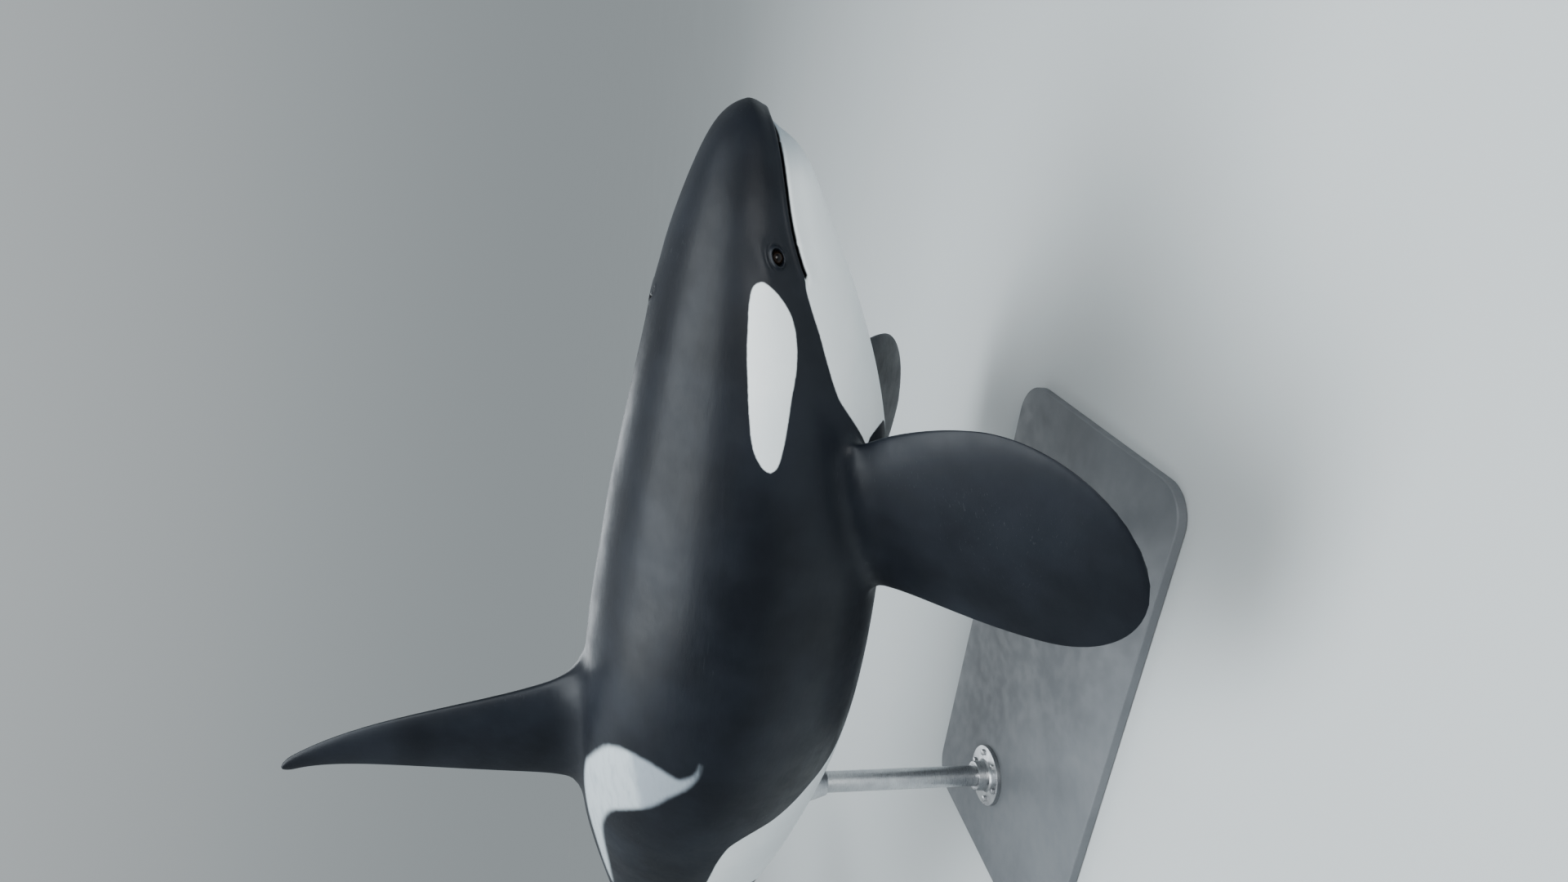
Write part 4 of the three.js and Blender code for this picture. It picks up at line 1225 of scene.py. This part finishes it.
def build_base():
    """The base plate, its corners round and its edges softly bevelled."""
    rows = []
    straight = BASE_THICKNESS - 2 * BASE_BEVEL
    turns = np.linspace(0, math.pi / 2, BEVEL_STEPS + 1)
    profile = [(BASE_BEVEL * (1 - math.sin(t)), BASE_BEVEL * (1 - math.cos(t))) for t in turns]
    profile += [(0, BASE_BEVEL + straight * k / 3) for k in range(1, 3)]
    profile += [(BASE_BEVEL * (1 - math.cos(t)), BASE_BEVEL + straight + BASE_BEVEL * math.sin(t))
                for t in turns]
    for inset, height in profile:
        loop = []
        for quarter in range(4):
            for k in range(CORNER_STEPS + 1):
                turn = math.pi / 2 * (quarter + k / CORNER_STEPS)
                cx = (BASE_LENGTH / 2 - BASE_CORNER) * (1 if quarter in (0, 3) else -1)
                cy = (BASE_WIDTH / 2 - BASE_CORNER) * (1 if quarter in (0, 1) else -1)
                reach = BASE_CORNER - inset
                loop.append((cx + reach * math.cos(turn), cy + reach * math.sin(turn), height))
        rows.append(loop)
    return lofted("base_plate", rows, (0, 0, 0), (0, 0, BASE_THICKNESS))


def fit_to_belly(sleeve, belly):
    """Bends a sleeve's rim to the skin over it."""
    points = coordinates(sleeve.data)
    share = ease((points[:, 2] - belly + SLEEVE_RIM) / SLEEVE_RIM)
    points[:, 2] += share * (belly_height(points[:, 0], points[:, 1]) - belly + GAP)
    set_coordinates(sleeve.data, points)


def build_stand(steel, paint):
    dress(build_base(), paint, "stand_plate", "stand_base")
    floor, bore = BASE_THICKNESS + GAP, ROD_RADIUS + GAP
    fillet_out, fillet_up = FLANGE_FILLET
    flange = [
        (bore, 0), (FLANGE_RADIUS, 0), (FLANGE_RADIUS, FLANGE_THICKNESS),
        (COLLAR_RADIUS + fillet_out, FLANGE_THICKNESS),
        (COLLAR_RADIUS, FLANGE_THICKNESS + fillet_up),
        (COLLAR_TOP, COLLAR_HEIGHT), (bore, COLLAR_HEIGHT),
    ]
    sleeve = [
        (bore, 0), (SLEEVE_RADIUS * SLEEVE_TAPER, 0), (SLEEVE_RADIUS, SLEEVE_HEIGHT - SLEEVE_RIM),
        (SLEEVE_RADIUS, SLEEVE_HEIGHT), (bore, SLEEVE_HEIGHT),
    ]
    for name, at in ROD_STATIONS.items():
        x, y, _ = spine_at(at)
        belly = float(belly_height(np.array([x]), np.array([y]))[0])
        length = belly - floor
        rod = [(ROD_BORE, 0), (ROD_RADIUS, 0), (ROD_RADIUS, length), (ROD_BORE, length)]
        for kind, profile, foot in (
                ("flange", flange, floor), ("rod", rod, floor),
                ("sleeve", sleeve, belly - SLEEVE_HEIGHT)):
            piece = ring_piece(f"{kind}_{name}", profile, x, y, foot)
            if kind == "sleeve":
                fit_to_belly(piece, belly)
            dress(piece, steel, "stand_steel", f"stand_{kind}_{name}")
        for i in range(BOLT_COUNT):
            angle = 2 * math.pi * (i + 0.5) / BOLT_COUNT
            bx, by = x + BOLT_CIRCLE * math.cos(angle), y + BOLT_CIRCLE * math.sin(angle)
            bolt = build_bolt(f"bolt_{name}_{i + 1}", bx, by, floor + FLANGE_THICKNESS + GAP)
            dress(bolt, steel, "stand_steel", f"stand_bolt_{name}_{i + 1}")


# Stage, lights and camera

def build_stage():
    mesh = bpy.data.meshes.new("floor")
    ring = [(FLOOR_RADIUS * math.cos(t), FLOOR_RADIUS * math.sin(t), 0)
            for t in turns_of(RING_SIDES)]
    mesh.from_pydata(ring, [], [tuple(range(RING_SIDES))])
    floor = link("floor", mesh)
    floor.data.materials.append(floor_material())


def area_light(name, place, target, size, power, colour):
    data = bpy.data.lights.new(name, "AREA")
    data.shape = "RECTANGLE"
    data.size, data.size_y = size
    data.energy = power
    data.color = colour
    lamp = link(name, data)
    lamp.location = place
    lamp.rotation_euler = (Vector(target) - Vector(place)).to_track_quat("-Z", "Y").to_euler()


def build_light():
    for light in LIGHTS:
        area_light(*light)
    world = bpy.data.worlds.new("studio")
    world.use_nodes = True
    n = Nodes(world.node_tree)
    split = n.add("ShaderNodeSeparateXYZ")
    n.feed(split.inputs[0], n.add("ShaderNodeTexCoord").outputs["Generated"])
    colour = n.mix(n.step(split.outputs["Z"], 0.0, WORLD_TOP_START), WORLD_HORIZON, WORLD_TOP)
    n.feed(world.node_tree.nodes["Background"].inputs["Color"], colour)
    bpy.context.scene.world = world
    bpy.context.scene.view_settings.look = LOOK


def build_camera():
    across = math.cos(CAMERA_ELEVATION)
    back = Vector((math.sin(CAMERA_AZIMUTH) * across, -math.cos(CAMERA_AZIMUTH) * across,
                   math.sin(CAMERA_ELEVATION)))
    level = (-back).cross(Vector((0, 0, 1))).normalized()
    upright = level.cross(-back)
    right = math.cos(CAMERA_ROLL) * level - math.sin(CAMERA_ROLL) * upright
    up = math.sin(CAMERA_ROLL) * level + math.cos(CAMERA_ROLL) * upright
    data = bpy.data.cameras.new("camera")
    data.lens = CAMERA_LENS
    data.sensor_width = SENSOR_WIDTH
    data.clip_end = CLIP_END
    camera = link("camera", data)
    turned = Matrix((right, up, back)).transposed().to_4x4()
    camera.matrix_world = Matrix.Translation(CAMERA_PLACE) @ turned
    bpy.context.scene.camera = camera


build_camera()
build_stage()
build_light()
skin = build_skin()
dress(skin, skin_material(), "orca_skin", *SKIN_NODES)
eye_finish = eye_material()
for eye_name, eye_side in (("left", 1), ("right", -1)):
    dress(build_eye(f"eyeball_{eye_name}", eye_side), eye_finish, "eye", f"eye_{eye_name}")
build_stand(steel_material(), paint_material())
